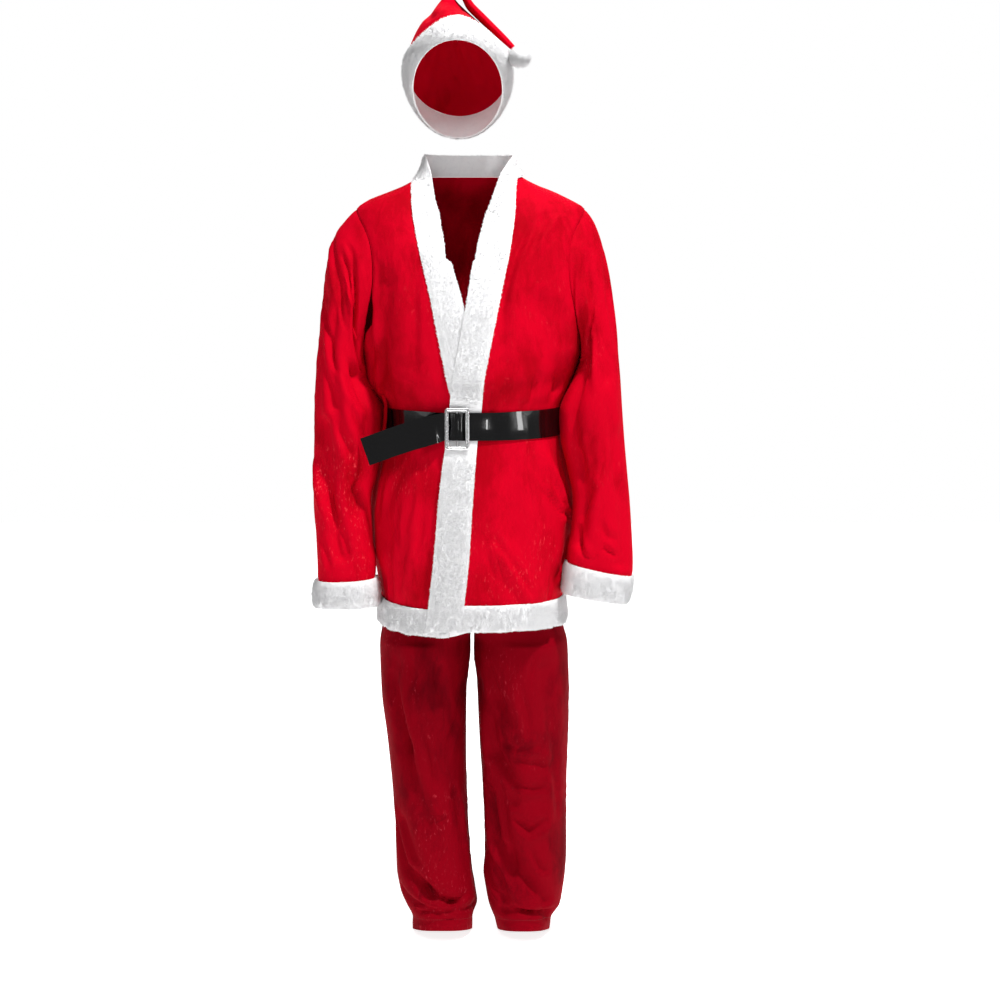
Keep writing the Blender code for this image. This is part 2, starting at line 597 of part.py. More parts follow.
def jacket_heights():
    """Row heights from the hem's seam to the neck, closer together round the armhole."""
    below = np.array([HEM_SEAM, -0.700, -0.660, -0.620, -0.575, -0.530, -0.480])
    belt = BELT_HEIGHT + np.array([-0.5, 0.0, 0.5]) * BELT_WIDTH
    blouse = np.array([-0.360, -0.335, -0.310])
    turns = np.arange(10) * math.pi / 9
    hole = (ARMPIT + SHOULDER) / 2 - (SHOULDER - ARMPIT) / 2 * np.cos(turns)
    yoke = np.array([-0.025, -0.010, 0.004, NECK_SEAM])
    return np.concatenate([below, belt, blouse, hole, yoke])


def edge_angle(column, h, side):
    """The angle of a front edge at a row: its table gives X for a real height."""
    z = np.array(h, float)
    hang = RIGHT_FRONT_HANGS if side < 0 else 0.0
    for _ in range(4):
        angle = angle_at(between(FRONT_EDGES["z"], FRONT_EDGES[column], z), h)
        z = torso(angle, h, hang)[..., 2]
    return angle


def armhole_angle(h, side, reach):
    """The angle of the armhole's front or back edge, or of the side seam away from it."""
    middle, half = (ARMPIT + SHOULDER) / 2, (SHOULDER - ARMPIT) / 2
    open_here = np.sqrt(np.clip(1 - ((h - middle) / half) ** 2, 0, 1))
    ring = read(TORSO, "h", h)
    return angle_beside(ring["side"] + reach * open_here, h, side)


FRONT_COLUMNS = 11
BACK_COLUMNS = 17
LEG_COLUMNS = 10
BAND_SHARES = np.array([0.0, 0.16, 0.5, 0.84, 1.0])  # rows across a plush band, from its seam or edge


def front_grid(h, side, columns):
    """Angles of a front panel, from its plush seam to the side."""
    seam = edge_angle("left_seam" if side > 0 else "right_seam", h, side)
    edge = armhole_angle(h, side, -ARMHOLE_FRONT)
    share = np.linspace(0, 1, columns)
    return seam[:, None] + (edge - seam)[:, None] * share, np.repeat(h[:, None], columns, 1)


def back_grid(h, columns):
    """Angles of the back, from the left side round to the right side."""
    start = armhole_angle(h, 1, ARMHOLE_BACK)
    end = 2 * math.pi + armhole_angle(h, -1, ARMHOLE_BACK)
    share = np.linspace(0, 1, columns)
    return start[:, None] + (end - start)[:, None] * share, np.repeat(h[:, None], columns, 1)


def band_lines(side):
    """Seam and free edge of a front band: angle and height at each of its rows."""
    name = "left" if side > 0 else "right"
    h = np.concatenate([[HEM, (HEM + HEM_SEAM) / 2], jacket_heights()])
    seam = edge_angle(name + "_seam", h, side)
    free = edge_angle(name + "_free", h, side)
    free_h = h.copy()
    turning = h > NECK_TURN["seam_h"][0]
    turn = read(NECK_TURN, "seam_h", h[turning])
    free[turning] = np.radians(turn[name + "_angle"])
    free_h[turning] = turn["free_h"]
    corner = seam[-1]
    shares = np.array([0.5, 1.0])
    more = corner + (side * math.pi / 2 - corner) * shares
    more_free = free[-1] + (side * math.pi / 2 - free[-1]) * shares
    more_free_h = free_h[-1] + (NECK_TOP - free_h[-1]) * np.array([0.7, 1.0])
    seam_h = np.concatenate([h, np.full(2, NECK_SEAM)])
    return (
        np.concatenate([seam, more]),
        seam_h,
        np.concatenate([free, more_free]),
        np.concatenate([free_h, more_free_h]),
    )


def plush_height(h, share):
    """How far a plush band's face stands out, across its width from 0 to 1."""
    rounded = np.interp(share, [0, 0.16, 0.84, 1], [0.62, 1.0, 1.0, 0.55])
    return PILE * squeeze(h) * rounded


ALL_EDGES = ["first_row", "last_row", "first_column", "last_column"]


def jacket(velvet, plush):
    h = jacket_heights()
    for side, name in ((-1, "right"), (1, "left")):
        points, out = skin(side)(*front_grid(h, side, FRONT_COLUMNS))
        points = draw_in(points, SEAM / 2, ALL_EDGES)
        wall(f"jacket_front_{name}", points, out, velvet)
        front_band(side, name, plush)
        hem_band(side, name, plush)
    points, out = skin(-1)(*back_grid(h, BACK_COLUMNS))
    points = draw_in(points, SEAM / 2, ALL_EDGES)
    wall("jacket_back", points, out, velvet)
    hem_band(0, "back", plush)
    neck_band(plush)


def front_band(side, name, plush):
    seam, seam_h, free, free_h = band_lines(side)
    angle = seam[:, None] + (free - seam)[:, None] * BAND_SHARES
    height = seam_h[:, None] + (free_h - seam_h)[:, None] * BAND_SHARES
    points, out = skin(side)(angle, height)
    points = draw_in(points, SEAM, ["first_column", "last_row"])
    wall(f"front_band_{name}", points, out, plush, raised=plush_height(height, BAND_SHARES))


def hem_band(side, name, plush):
    h = HEM + (HEM_SEAM - HEM) * BAND_SHARES
    grid = front_grid(h, side, 17) if side else back_grid(h, 2 * BACK_COLUMNS - 1)
    points, out = skin(side or -1)(*grid)
    points = draw_in(points, SEAM / 2, ["last_row", "first_column", "last_column"])
    raised = plush_height(grid[1], 1 - BAND_SHARES[:, None])
    wall(f"hem_band_{name}", points, out, plush, raised=raised)


def neck_band(plush):
    height = NECK_SEAM + (NECK_TOP - NECK_SEAM) * BAND_SHARES
    angle, height = np.meshgrid(np.linspace(math.pi / 2, 3 * math.pi / 2, BACK_COLUMNS), height)
    points, out = skin(-1)(angle, height)
    points = draw_in(points, SEAM, ["first_row", "first_column", "last_column"])
    raised = plush_height(height, BAND_SHARES[:, None])
    wall("neck_band", points, out, plush, raised=raised)


# ------------------------------------------------------------------ sleeves


def armhole(turn, side):
    """The armhole's edge: turn 0 is the shoulder, 90 degrees the front and 180 the armpit."""
    h = (ARMPIT + SHOULDER) / 2 + (SHOULDER - ARMPIT) / 2 * np.cos(turn)
    reach = np.where(np.sin(turn) > 0, -ARMHOLE_FRONT, ARMHOLE_BACK) * np.abs(np.sin(turn))
    ring = read(TORSO, "h", h)
    return skin(side)(angle_beside(ring["side"] + reach, h, side), h)[0]


def sleeve(side):
    table = LEFT_SLEEVE if side > 0 else RIGHT_SLEEVE
    fold_table = LEFT_SLEEVE_FOLDS if side > 0 else RIGHT_SLEEVE_FOLDS

    def ring(turn, row):
        at = read_rows(table, row)
        sine, cosine = np.sin(turn), np.cos(turn)
        power = at["square"]
        reach = (np.abs(sine) ** power + np.abs(cosine) ** power) ** (-1 / power)
        x = (at["out_x"] + at["in_x"]) / 2 + (at["out_x"] - at["in_x"]) / 2 * reach * cosine
        z = (at["out_z"] + at["in_z"]) / 2 + (at["out_z"] - at["in_z"]) / 2 * reach * cosine
        return np.stack([side * x, at["y"] - at["deep"] * reach * sine, z], axis=-1)

    def smooth(turn, row):
        turn, row = np.broadcast_arrays(np.asarray(turn, float), np.asarray(row, float))
        near = np.expand_dims((1 - fade(row, 0, ARMHOLE_FADE_ROWS)), -1)
        return ring(turn, row) + near * (armhole(turn, side) - ring(turn, np.zeros_like(row)))

    def face(turn, row):
        depth = folded(fold_table, turn, row, 0.055, SLEEVE_ROW_STEP) * fade(row, 0.2, 2.0)
        out = side * normals(smooth, turn, row, 1e-3, 1e-3)
        return smooth(turn, row) - out * np.expand_dims(depth, -1), out

    return face


def make_sleeve(side, name, velvet, plush):
    face = sleeve(side)
    turns = np.arange(18) * math.pi / 9
    points, out = face(*np.meshgrid(turns, np.arange(CUFF_SEAM_ROW + 1.0)))
    points = draw_in(points, SEAM / 2, ["first_row", "last_row"])
    wall(f"sleeve_{name}", points, out, velvet, around=True)
    points, out = face(*np.meshgrid(turns, CUFF_SEAM_ROW + 2 * BAND_SHARES))
    points = draw_in(points, SEAM / 2, ["first_row"])
    raised = plush_height(0.0, BAND_SHARES[:, None])
    wall(f"cuff_{name}", points, out, plush, raised=raised, around=True)


# ------------------------------------------------------------------ trousers


def waist_face(angle, h, gap=PLY_GAP):
    """The inside of the jacket, where the waistband lies against it."""
    points, out = skin(-1)(angle, h)
    return points - out * (CLOTH + gap), out


def leg(side):
    table = LEFT_LEG if side > 0 else RIGHT_LEG
    fold_table = LEFT_LEG_FOLDS if side > 0 else RIGHT_LEG_FOLDS

    def tube(turn, h):
        at = read(table, "h", h)
        sine, cosine = np.sin(turn), np.cos(turn)
        deep = np.where(sine > 0, at["front"], at["back"])
        power = at["square"]
        reach = (np.abs(sine) ** power + np.abs(cosine) ** power) ** (-1 / power)
        x = (at["out"] + at["inn"]) / 2 + (at["out"] - at["inn"]) / 2 * reach * cosine
        z = h + FRONT_BREAK * fade(-h, 1.27, 1.368) * np.clip(sine, 0, 1)
        return np.stack([side * x, -deep * reach * sine, z], axis=-1)

    def seat(turn, h):
        at = read(HIP, "h", h)
        back = turn > math.pi
        deep = np.where(back, at["back"], at["front"])
        turned = np.where(back, math.pi - turn / 2, turn / 2)
        sine, cosine = np.sin(turned), np.cos(turned)
        power = at["square"]
        reach = ((np.abs(cosine) / at["side"]) ** power + (np.abs(sine) / deep) ** power) ** (-1 / power)
        x = reach * cosine
        y = np.where(back, 1, -1) * reach * sine
        form = np.stack([side * x, y, h + 0 * x], axis=-1)
        round_waist = side * np.where(back, math.pi / 2 + turned, math.pi / 2 - turned)
        band, _ = waist_face(round_waist, h, 2 * PLY_GAP)
        near = np.expand_dims(fade(h, -0.475, WAIST_SEAM), -1)
        return form * (1 - near) + band * near

    def smooth(turn, h):
        turn, h = np.broadcast_arrays(np.asarray(turn, float), np.asarray(h, float))
        rise = np.clip((h - CROTCH) / CROTCH_RISE, 0, 1)
        joined = np.expand_dims(np.sqrt(np.clip(1 - (1 - rise) ** 2, 0, 1)), -1)
        return tube(turn, h) * (1 - joined) + seat(turn, h) * joined

    def face(turn, h):
        free = fade(-h, -CROTCH, -CROTCH + 0.05)
        depth = free * folded(fold_table, turn, h, 0.085)
        out = -side * normals(smooth, turn, h, 5e-5)
        return smooth(turn, h) - out * np.expand_dims(depth, -1), out

    return face


def leg_heights():
    rise = CROTCH + CROTCH_RISE * (1 - np.cos(np.radians([0, 15, 30, 45, 60, 75, 90])))
    below = np.array(
        [-1.368, -1.345, -1.322, -1.300, -1.275, -1.245, -1.205, -1.155, -1.100, -1.040, -0.980, -0.920]
        + [-0.870, -0.835]
    )
    return np.concatenate([below, rise, [-0.600, -0.540, -0.480, WAIST_SEAM]])


def trousers(velvet):
    h = leg_heights()
    inner = 1e-4  # keeps the edge columns on their own panel
    for side, name in ((-1, "right"), (1, "left")):
        for start, part in ((0.0, "front"), (math.pi, "back")):
            turns = start + np.linspace(inner, math.pi - inner, LEG_COLUMNS)
            points, out = leg(side)(*np.meshgrid(turns, h))
            points = draw_in(points, SEAM / 2, ["last_row", "first_column", "last_column"])
            wall(f"trouser_{part}_{name}", points, out, velvet)
    h = np.array([WAIST_SEAM + SEAM / 2, BELT_HEIGHT, WAIST_TOP])
    points, out = waist_face(girth(h), h[:, None])
    wall("trouser_waistband", points, out, velvet, around=True)


def girth(h):
    """Angles once round the waist, at the columns of the jacket's own panels."""
    right = front_grid(h, -1, FRONT_COLUMNS)[0][:, ::-1]
    left = front_grid(h, 1, FRONT_COLUMNS)[0]
    back = back_grid(h, BACK_COLUMNS)[0][:, 1:-1]
    middle = (right[:, -1:] + left[:, :1]) / 2
    return np.concatenate([right, middle, left, back], axis=1)


# ------------------------------------------------------------------ belt

# The strap's way through the buckle: X, and how far its inner face is raised over its first ply's bed.
THREADING = rows(
    "x raised",
    [
        (0.0060, 0.0000),
        (-0.0060, 0.0005),
        (-0.0110, 0.0023),
        (-0.0165, 0.0064),
        (-0.0205, 0.0085),
        (-0.0232, 0.0088),
        (-0.0262, 0.0086),
        (-0.0300, 0.0061),
        (-0.0350, 0.0032),
        (-0.0390, 0.0021),
        (-0.0450, 0.0019),
    ],
)
# The free end beyond the buckle: the middle of the strap.
TAIL = rows(
    "x y z",
    [
        (-0.062, -0.1372, -0.4185),
        (-0.084, -0.1330, -0.4255),
        (-0.106, -0.1255, -0.4325),
        (-0.128, -0.1165, -0.4405),
        (-0.150, -0.1075, -0.4490),
        (-0.170, -0.1005, -0.4570),
        (-0.187, -0.0960, -0.4635),
    ],
)
# A belt loop's way down the side: height and how far it stands off the jacket.
LOOP_WAY = rows(
    "h right_off left_off",
    [
        (-0.366, -0.0005, 0.0005),
        (-0.374, 0.0025, 0.0020),
        (-0.385, 0.0065, 0.0050),
        (-0.400, 0.0085, 0.0060),
        (-0.416, 0.0100, 0.0060),
        (-0.431, 0.0110, 0.0050),
        (-0.443, 0.0080, 0.0040),
        (-0.452, 0.0030, 0.0020),
        (-0.460, -0.0002, 0.0008),
    ],
)


def belt_bed(angle, h):
    """Where the belt's inner face lies over the fronts and the back, and the way out from there."""
    points, out = skin(-1)(angle, h)
    x = points[..., 0]
    both_bands = 2 * PILE * squeeze(h) + CLOTH + PLY_GAP
    front = (np.cos(angle) > 0) * fade(x, -0.105, -0.046) * (1 - fade(x, 0.030, 0.094))
    return points + out * np.expand_dims(both_bands * front + BELT_GAP, -1), out


def belt(vinyl):
    """One strap: from under the buckle round the back, through the buckle and out to its free end."""
    h = BELT_HEIGHT + np.array([-0.5, 0.0, 0.5]) * BELT_WIDTH
    loop = girth(h)
    x = torso(loop, h[:, None])[1, :, 0]
    beside_buckle = BUCKLE_X - BUCKLE_WIDTH / 2 - BUCKLE_CLEARANCE
    start = np.array([[angle_at(at, row) for at in STRAP_START] for row in h])
    right = loop[:, [k for k in range(FRONT_COLUMNS) if x[k] < beside_buckle]][:, ::-1]
    back = loop[:, 2 * FRONT_COLUMNS + 1 :][:, ::-1] - 2 * math.pi
    left = loop[:, FRONT_COLUMNS + 1 : 2 * FRONT_COLUMNS + 1][:, ::-1] - 2 * math.pi
    threading = np.array([[angle_at(at, row) for at in THREADING["x"]] for row in h]) - 2 * math.pi
    angle = np.concatenate([start, right, back, left, threading], axis=1)
    raised = np.zeros(angle.shape[1])
    raised[-len(THREADING["x"]) :] = THREADING["raised"]
    bed, out = belt_bed(angle, np.repeat(h[:, None], angle.shape[1], 1))
    strap = bed + out * np.expand_dims(raised + BELT_THICKNESS, -1)
    middle = np.stack([TAIL["x"], TAIL["y"], TAIL["z"]], axis=-1)
    way = np.gradient(np.concatenate([strap[1, -1:], middle]), axis=0)[1:]
    way /= np.linalg.norm(way, axis=-1, keepdims=True)
    wide = np.array([0.0, 0.0, 1.0]) - way * way[:, 2:]
    wide /= np.linalg.norm(wide, axis=-1, keepdims=True)
    tail = middle + wide * BELT_WIDTH * np.array([-0.5, 0.0, 0.5])[:, None, None]
    tail_out = np.broadcast_to(np.cross(way, wide), tail.shape)
    facing = -np.sign(tail_out[..., 1:2])
    wall(
        "belt_strap",
        np.concatenate([strap, tail], axis=1),
        np.concatenate([out, tail_out * facing], axis=1),
        vinyl,
        thickness=BELT_THICKNESS,
    )


def belt_loops(velvet):
    for name, place in LOOP_PLACES.items():
        h = LOOP_WAY["h"][:, None]
        middle = math.radians(place)
        spread = LOOP_WIDTH / 2 / WAIST_REACH * np.array([-1.0, 1.0])
        points, out = skin(-1)(middle + spread + 0 * h, h + 0 * spread)
        off = LOOP_WAY[name + "_off"][:, None] + LOOP_THICKNESS
        wall(f"belt_loop_{name}", points + out * off[..., None], out, velvet, thickness=LOOP_THICKNESS)


def buckle(silver):
    """A rectangular frame swept from a chamfered section, with a centre bar joined into it."""
    half_wide, half_high = BUCKLE_WIDTH / 2, BUCKLE_HEIGHT / 2
    corners = []
    for quarter, (sx, sy) in enumerate(((1, 1), (-1, 1), (-1, -1), (1, -1))):
        for step in range(4):
            turn = math.radians(90 * quarter + 30 * step)
            centre = (sx * (half_wide - BUCKLE_CORNER), sy * (half_high - BUCKLE_CORNER))
            corners.append((centre, (math.cos(turn), math.sin(turn))))
    cut, bar, thick = BUCKLE_CHAMFER, BUCKLE_BAR, BUCKLE_THICKNESS
    section = [(0, cut), (cut, 0), (bar - cut, 0), (bar, cut)]
    section += [(bar, thick - cut), (bar - cut, thick), (cut, thick), (0, thick - cut)]
    vertices = []
    for centre, way in corners:
        for inward, up in section:
            reach = BUCKLE_CORNER - inward
            vertices.append((centre[0] + way[0] * reach, centre[1] + way[1] * reach, up))
    count, ring = len(corners), len(section)
    faces = []
    for i in range(count):
        here, there = i * ring, (i + 1) % count * ring
        for j in range(ring):
            k = (j + 1) % ring
            faces.append((here + j, here + k, there + k, there + j))
    frame = body("belt_buckle", vertices, faces, silver)
    half = half_high - BUCKLE_BAR + CENTRE_BAR_SUNK
    bpy.ops.mesh.primitive_cube_add(size=1)
    centre_bar = bpy.context.object
    centre_bar.name = "centre_bar"
    centre_bar.dimensions = (CENTRE_BAR_WIDTH, 2 * half, CENTRE_BAR_THICKNESS)
    centre_bar.location = (0, 0, CENTRE_BAR_THICKNESS / 2 + CENTRE_BAR_RAISED)
    centre_bar.hide_render = True
    centre_bar.display_type = "WIRE"
    joined = frame.modifiers.new("centre_bar", "BOOLEAN")
    joined.operation = "UNION"
    joined.object = centre_bar
    h = np.array([BUCKLE_Z])
    bed, out = belt_bed(angle_at(np.array([BUCKLE_X]), h), h)
    place = bed[0] + out[0] * BUCKLE_RAISED
    carrier = bpy.data.objects.new("buckle_place", None)
    bpy.context.scene.collection.objects.link(carrier)
    carrier.location = (place[0], place[1], BUCKLE_Z)
    carrier.rotation_euler = (math.pi / 2, 0, math.atan2(out[0][0], -out[0][1]))
    frame.parent = carrier
    centre_bar.parent = carrier


# ------------------------------------------------------------------ hat


def hat(turn, row):
    """The hat's form. Turn 0 is its front, 90 degrees the wearer's left."""
    turn, row = np.broadcast_arrays(np.asarray(turn, float), np.asarray(row, float))
    at = read_rows(HAT, row)
    sag = np.where(np.sin(turn) > 0, at["sag_left"], at["sag_right"]) * np.sin(2 * turn) ** 2
    middle = np.stack([at["x"], at["y"], at["z"] - sag * (np.cos(turn) > 0)], axis=-1)
    ahead = np.stack([0 * turn, at["front_y"], at["front_z"]], axis=-1)
    beside = np.stack([at["left_x"], 0 * turn, at["left_z"]], axis=-1)
    return middle + ahead * np.cos(turn)[..., None] + beside * np.sin(turn)[..., None]


def hat_face(turn, row):
    turn, row = np.broadcast_arrays(np.asarray(turn, float), np.asarray(row, float))
    out = normals(hat, turn, row, 1e-3, 1e-3)
    depth = folded(HAT_FOLDS, turn, row, 0.08, HAT_ROW_STEP)
    return hat(turn, row) - out * np.expand_dims(depth, -1), out


def make_hat(velvet, plush):
    points, out = hat_face(*np.meshgrid(np.arange(28) * math.pi / 14, HAT_BAND_ROW * BAND_SHARES))
    points = draw_in(points, SEAM / 2, ["last_row"])
    raised = plush_height(0.0, BAND_SHARES[:, None]) * 1.2
    wall("hat_band", points, out, plush, raised=raised, around=True)
    numbers = np.arange(HAT_BAND_ROW, len(HAT["x"]), dtype=float)
    for start, name in ((-math.pi / 2, "front"), (math.pi / 2, "back")):
        points, out = hat_face(*np.meshgrid(start + np.linspace(0, math.pi, 15), numbers))
        points = draw_in(points, SEAM / 2, ["first_row"])
        points = draw_in(points, SEAM, ["first_column", "last_column"])
        wall(f"hat_crown_{name}", points, out, velvet)


def make_pompom(plush):
    """A round core whose faces are drawn out into locks of three sides."""
    work = bmesh.new()
    bmesh.ops.create_icosphere(work, subdivisions=2, radius=POMPOM_CORE)
    for corner in work.verts:
        corner.co = corner.co.normalized() * POMPOM_CORE
    tips = bmesh.ops.poke(work, faces=list(work.faces), offset=0.0)["verts"]
    for tip in tips:
        tip.co = tip.co.normalized() * POMPOM_RADIUS
    mesh = bpy.data.meshes.new("hat_pompom")
    work.to_mesh(mesh)
    work.free()
    mesh.materials.append(plush)
    made = bpy.data.objects.new("hat_pompom", mesh)
    made.location = POMPOM_CENTRE
    bpy.context.scene.collection.objects.link(made)


def main():
    for old in list(bpy.data.objects):
        bpy.data.objects.remove(old, do_unlink=True)
    velvet = finish("red_velvet", (0.62, 0.004, 0.018), 0.55)
    plush = finish("white_plush", (0.86, 0.86, 0.88), 0.95)
    vinyl = finish("black_vinyl", (0.012, 0.012, 0.014), 0.16)
    silver = finish("silver_buckle", (0.80, 0.80, 0.80), 0.25, 1.0)
    jacket(velvet, plush)
    make_sleeve(-1, "right", velvet, plush)
    make_sleeve(1, "left", velvet, plush)
    trousers(velvet)
    belt(vinyl)
    belt_loops(velvet)
    buckle(silver)
    make_hat(velvet, plush)
    make_pompom(plush)


main()
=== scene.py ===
"""A Santa suit: jacket with white plush trim, belt with a slide buckle, trousers and the matching hat,
dressed in crushed velvet, plush, glossy vinyl and silver. Metres, +Z up, the front faces -Y."""

import math

import bpy
import numpy as np
from mathutils import Euler, Matrix, Vector


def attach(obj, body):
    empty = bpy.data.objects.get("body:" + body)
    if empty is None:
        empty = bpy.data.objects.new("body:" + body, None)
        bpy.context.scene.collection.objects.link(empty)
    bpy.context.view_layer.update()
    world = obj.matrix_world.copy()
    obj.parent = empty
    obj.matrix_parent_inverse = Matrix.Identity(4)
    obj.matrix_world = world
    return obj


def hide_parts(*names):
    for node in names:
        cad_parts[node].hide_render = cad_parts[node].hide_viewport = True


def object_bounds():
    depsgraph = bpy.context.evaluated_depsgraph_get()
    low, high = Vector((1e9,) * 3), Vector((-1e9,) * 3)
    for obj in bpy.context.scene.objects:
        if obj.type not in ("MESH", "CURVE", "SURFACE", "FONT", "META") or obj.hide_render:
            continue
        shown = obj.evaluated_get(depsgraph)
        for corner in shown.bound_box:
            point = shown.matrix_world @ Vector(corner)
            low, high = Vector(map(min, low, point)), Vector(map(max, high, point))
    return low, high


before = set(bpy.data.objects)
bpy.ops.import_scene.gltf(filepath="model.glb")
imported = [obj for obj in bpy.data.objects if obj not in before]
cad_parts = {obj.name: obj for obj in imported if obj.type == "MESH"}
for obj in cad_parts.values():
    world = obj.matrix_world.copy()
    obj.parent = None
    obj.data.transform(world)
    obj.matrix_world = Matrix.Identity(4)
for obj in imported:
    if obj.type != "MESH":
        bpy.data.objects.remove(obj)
cad_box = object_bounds()

# ------------------------------------------------------------------ sizes of the suit

CLOTH = 0.0016  # red crushed velvet, the thickness of every wall
PILE = 0.0045  # how far plush stands out from its backing
SEAM = 0.0003  # gap between two pieces
PLY_GAP = 0.0008  # gap between two plies that lie on each other

ARMPIT = -0.285  # heights on the side of the jacket
SHOULDER = -0.041
NECK_SEAM = 0.016
NECK_TOP = 0.054
HEM_SEAM = -0.733
HEM = -0.782
ARMHOLE_FRONT = 0.070  # half widths of the armhole, seen from the side
ARMHOLE_BACK = 0.080
RIGHT_FRONT_HANGS = 0.012  # the under front's hem lies lower

BELT_HEIGHT = -0.415
BELT_WIDTH = 0.050
BELT_THICKNESS = 0.0014
BELT_GAP = 0.0006
BUCKLE_X = -0.0232
BUCKLE_Z = -0.4185
BUCKLE_WIDTH = 0.043
BUCKLE_HEIGHT = 0.0735
BUCKLE_BAR = 0.0070
BUCKLE_THICKNESS = 0.0036
BUCKLE_CORNER = 0.0060
BUCKLE_RAISED = 0.0060  # its back lies this far above the first ply of the strap
CENTRE_BAR_WIDTH = 0.0034
CENTRE_BAR_THICKNESS = 0.0020
CENTRE_BAR_RAISED = 0.0002
CENTRE_BAR_SUNK = 0.0020  # how far it runs into the frame at each end
BUCKLE_CLEARANCE = 0.004  # the strap's free columns start this far beside the buckle
STRAP_START = (-0.0200, -0.0440)  # X of the strap's first columns, behind the buckle
LOOP_WIDTH = 0.010
LOOP_THICKNESS = 0.0020
LOOP_SUNK = 0.0004  # how far a loop's face lies below the solid's, before it is rounded
LOOP_PLACES = {"right": -61, "left": 104}  # degrees round the jacket
WAIST_REACH = 0.155  # half the waist's width, which turns a loop's width into an angle

WAIST_SEAM = BELT_HEIGHT - BELT_WIDTH / 2
WAIST_TOP = WAIST_SEAM + 0.038
CROTCH = -0.810
CROTCH_RISE = 0.150  # the height over which the two legs part
TROUSER_HEM = -1.368
FRONT_BREAK = 0.022  # how far a boot lifts the front of the hem

POMPOM_CENTRE = (0.0847, -0.0392, 0.2197)
POMPOM_RADIUS = 0.0195
POMPOM_CORE = 0.0125

# Metres on the cloth for each radian round a piece, for the widths of its folds and creases.
JACKET_REACH = 0.16
SLEEVE_REACH = 0.055
LEG_REACH = 0.085
HAT_REACH = 0.08


def rows(names, values):
    """A table with named columns, one row for each section, edge point, fold or crease."""
    return dict(zip(names.split(), np.array(values, float).T))


# The jacket's sections from hem to neck. right and left are half widths, front and back are how far it
# reaches in Y, side is the Y of its widest point and mid the X of its middle. sink lowers the front.
TORSO = rows(
    "h right left front back side mid square sink",
    [
        (-0.800, 0.1685, 0.1685, 0.146, 0.148, 0.015, 0.000, 2.3, -0.008),
        (-0.782, 0.1685, 0.1685, 0.146, 0.148, 0.015, 0.000, 2.3, -0.008),
        (-0.733, 0.1680, 0.1655, 0.147, 0.150, 0.015, 0.000, 2.3, -0.006),
        (-0.690, 0.1745, 0.1690, 0.147, 0.150, 0.012, 0.000, 2.3, -0.004),
        (-0.640, 0.1860, 0.1810, 0.146, 0.148, 0.008, 0.000, 2.3, -0.002),
        (-0.585, 0.1880, 0.1860, 0.144, 0.144, 0.010, 0.000, 2.3, 0.000),
        (-0.530, 0.1815, 0.1815, 0.140, 0.136, 0.016, 0.000, 2.3, 0.000),
        (-0.480, 0.1720, 0.1700, 0.134, 0.124, 0.022, 0.000, 2.3, 0.000),
        (-0.438, 0.1630, 0.1610, 0.129, 0.111, 0.026, 0.000, 2.3, 0.000),
        (-0.413, 0.1610, 0.1595, 0.127, 0.109, 0.026, 0.000, 2.3, 0.000),
        (-0.388, 0.1625, 0.1610, 0.1285, 0.111, 0.026, 0.000, 2.3, 0.000),
        (-0.360, 0.1800, 0.1715, 0.1360, 0.126, 0.022, -0.002, 2.3, 0.000),
        (-0.335, 0.1880, 0.1825, 0.140, 0.132, 0.020, -0.003, 2.3, 0.000),
        (-0.310, 0.1905, 0.1900, 0.138, 0.134, 0.014, -0.004, 2.3, 0.001),
        (-0.285, 0.1930, 0.1950, 0.135, 0.134, 0.000, -0.005, 2.3, 0.003),
        (-0.220, 0.1990, 0.2010, 0.126, 0.132, 0.000, -0.008, 2.3, 0.009),
        (-0.150, 0.2050, 0.2060, 0.112, 0.126, 0.000, -0.010, 2.3, 0.020),
        (-0.100, 0.2090, 0.2080, 0.098, 0.115, 0.000, -0.012, 2.3, 0.032),
        (-0.060, 0.2100, 0.2070, 0.080, 0.100, 0.004, -0.012, 2.3, 0.042),
        (-0.041, 0.2040, 0.2000, 0.070, 0.090, 0.005, -0.012, 2.3, 0.046),
        (-0.025, 0.1830, 0.1780, 0.061, 0.079, 0.005, -0.012, 2.3, 0.050),
        (-0.012, 0.1500, 0.1490, 0.054, 0.069, 0.005, -0.012, 2.3, 0.053),
        (0.000, 0.1210, 0.1180, 0.050, 0.062, 0.005, -0.012, 2.3, 0.055),
        (0.016, 0.0960, 0.0900, 0.047, 0.058, 0.005, -0.012, 2.2, 0.055),
        (0.034, 0.0860, 0.0790, 0.045, 0.056, 0.005, -0.012, 2.1, 0.055),
        (0.060, 0.0800, 0.0730, 0.044, 0.055, 0.005, -0.012, 2.0, 0.055),
    ],
)

# Front edges: X of the seam between velvet and plush, and of the plush band's free edge.
FRONT_EDGES = rows(
    "z left_seam left_free right_seam right_free",
    [
        (-0.800, -0.018, -0.080, -0.040, 0.018),
        (-0.726, -0.012, -0.072, -0.036, 0.021),
        (-0.649, -0.004, -0.064, -0.034, 0.024),
        (-0.543, 0.003, -0.055, -0.031, 0.026),
        (-0.438, 0.0115, -0.0425, -0.0295, 0.026),
        (-0.377, 0.0190, -0.0365, -0.0327, 0.020),
        (-0.351, 0.0205, -0.0335, -0.0385, 0.016),
        (-0.283, 0.0327, -0.0220, -0.0529, 0.003),
        (-0.197, 0.0500, -0.0067, -0.0702, -0.0154),
        (-0.103, 0.0692, 0.0077, -0.0923, -0.0415),
        (-0.035, 0.0772, 0.0200, -0.1040, -0.0500),
        (0.020, 0.0790, 0.0300, -0.1060, -0.0560),
    ],
)

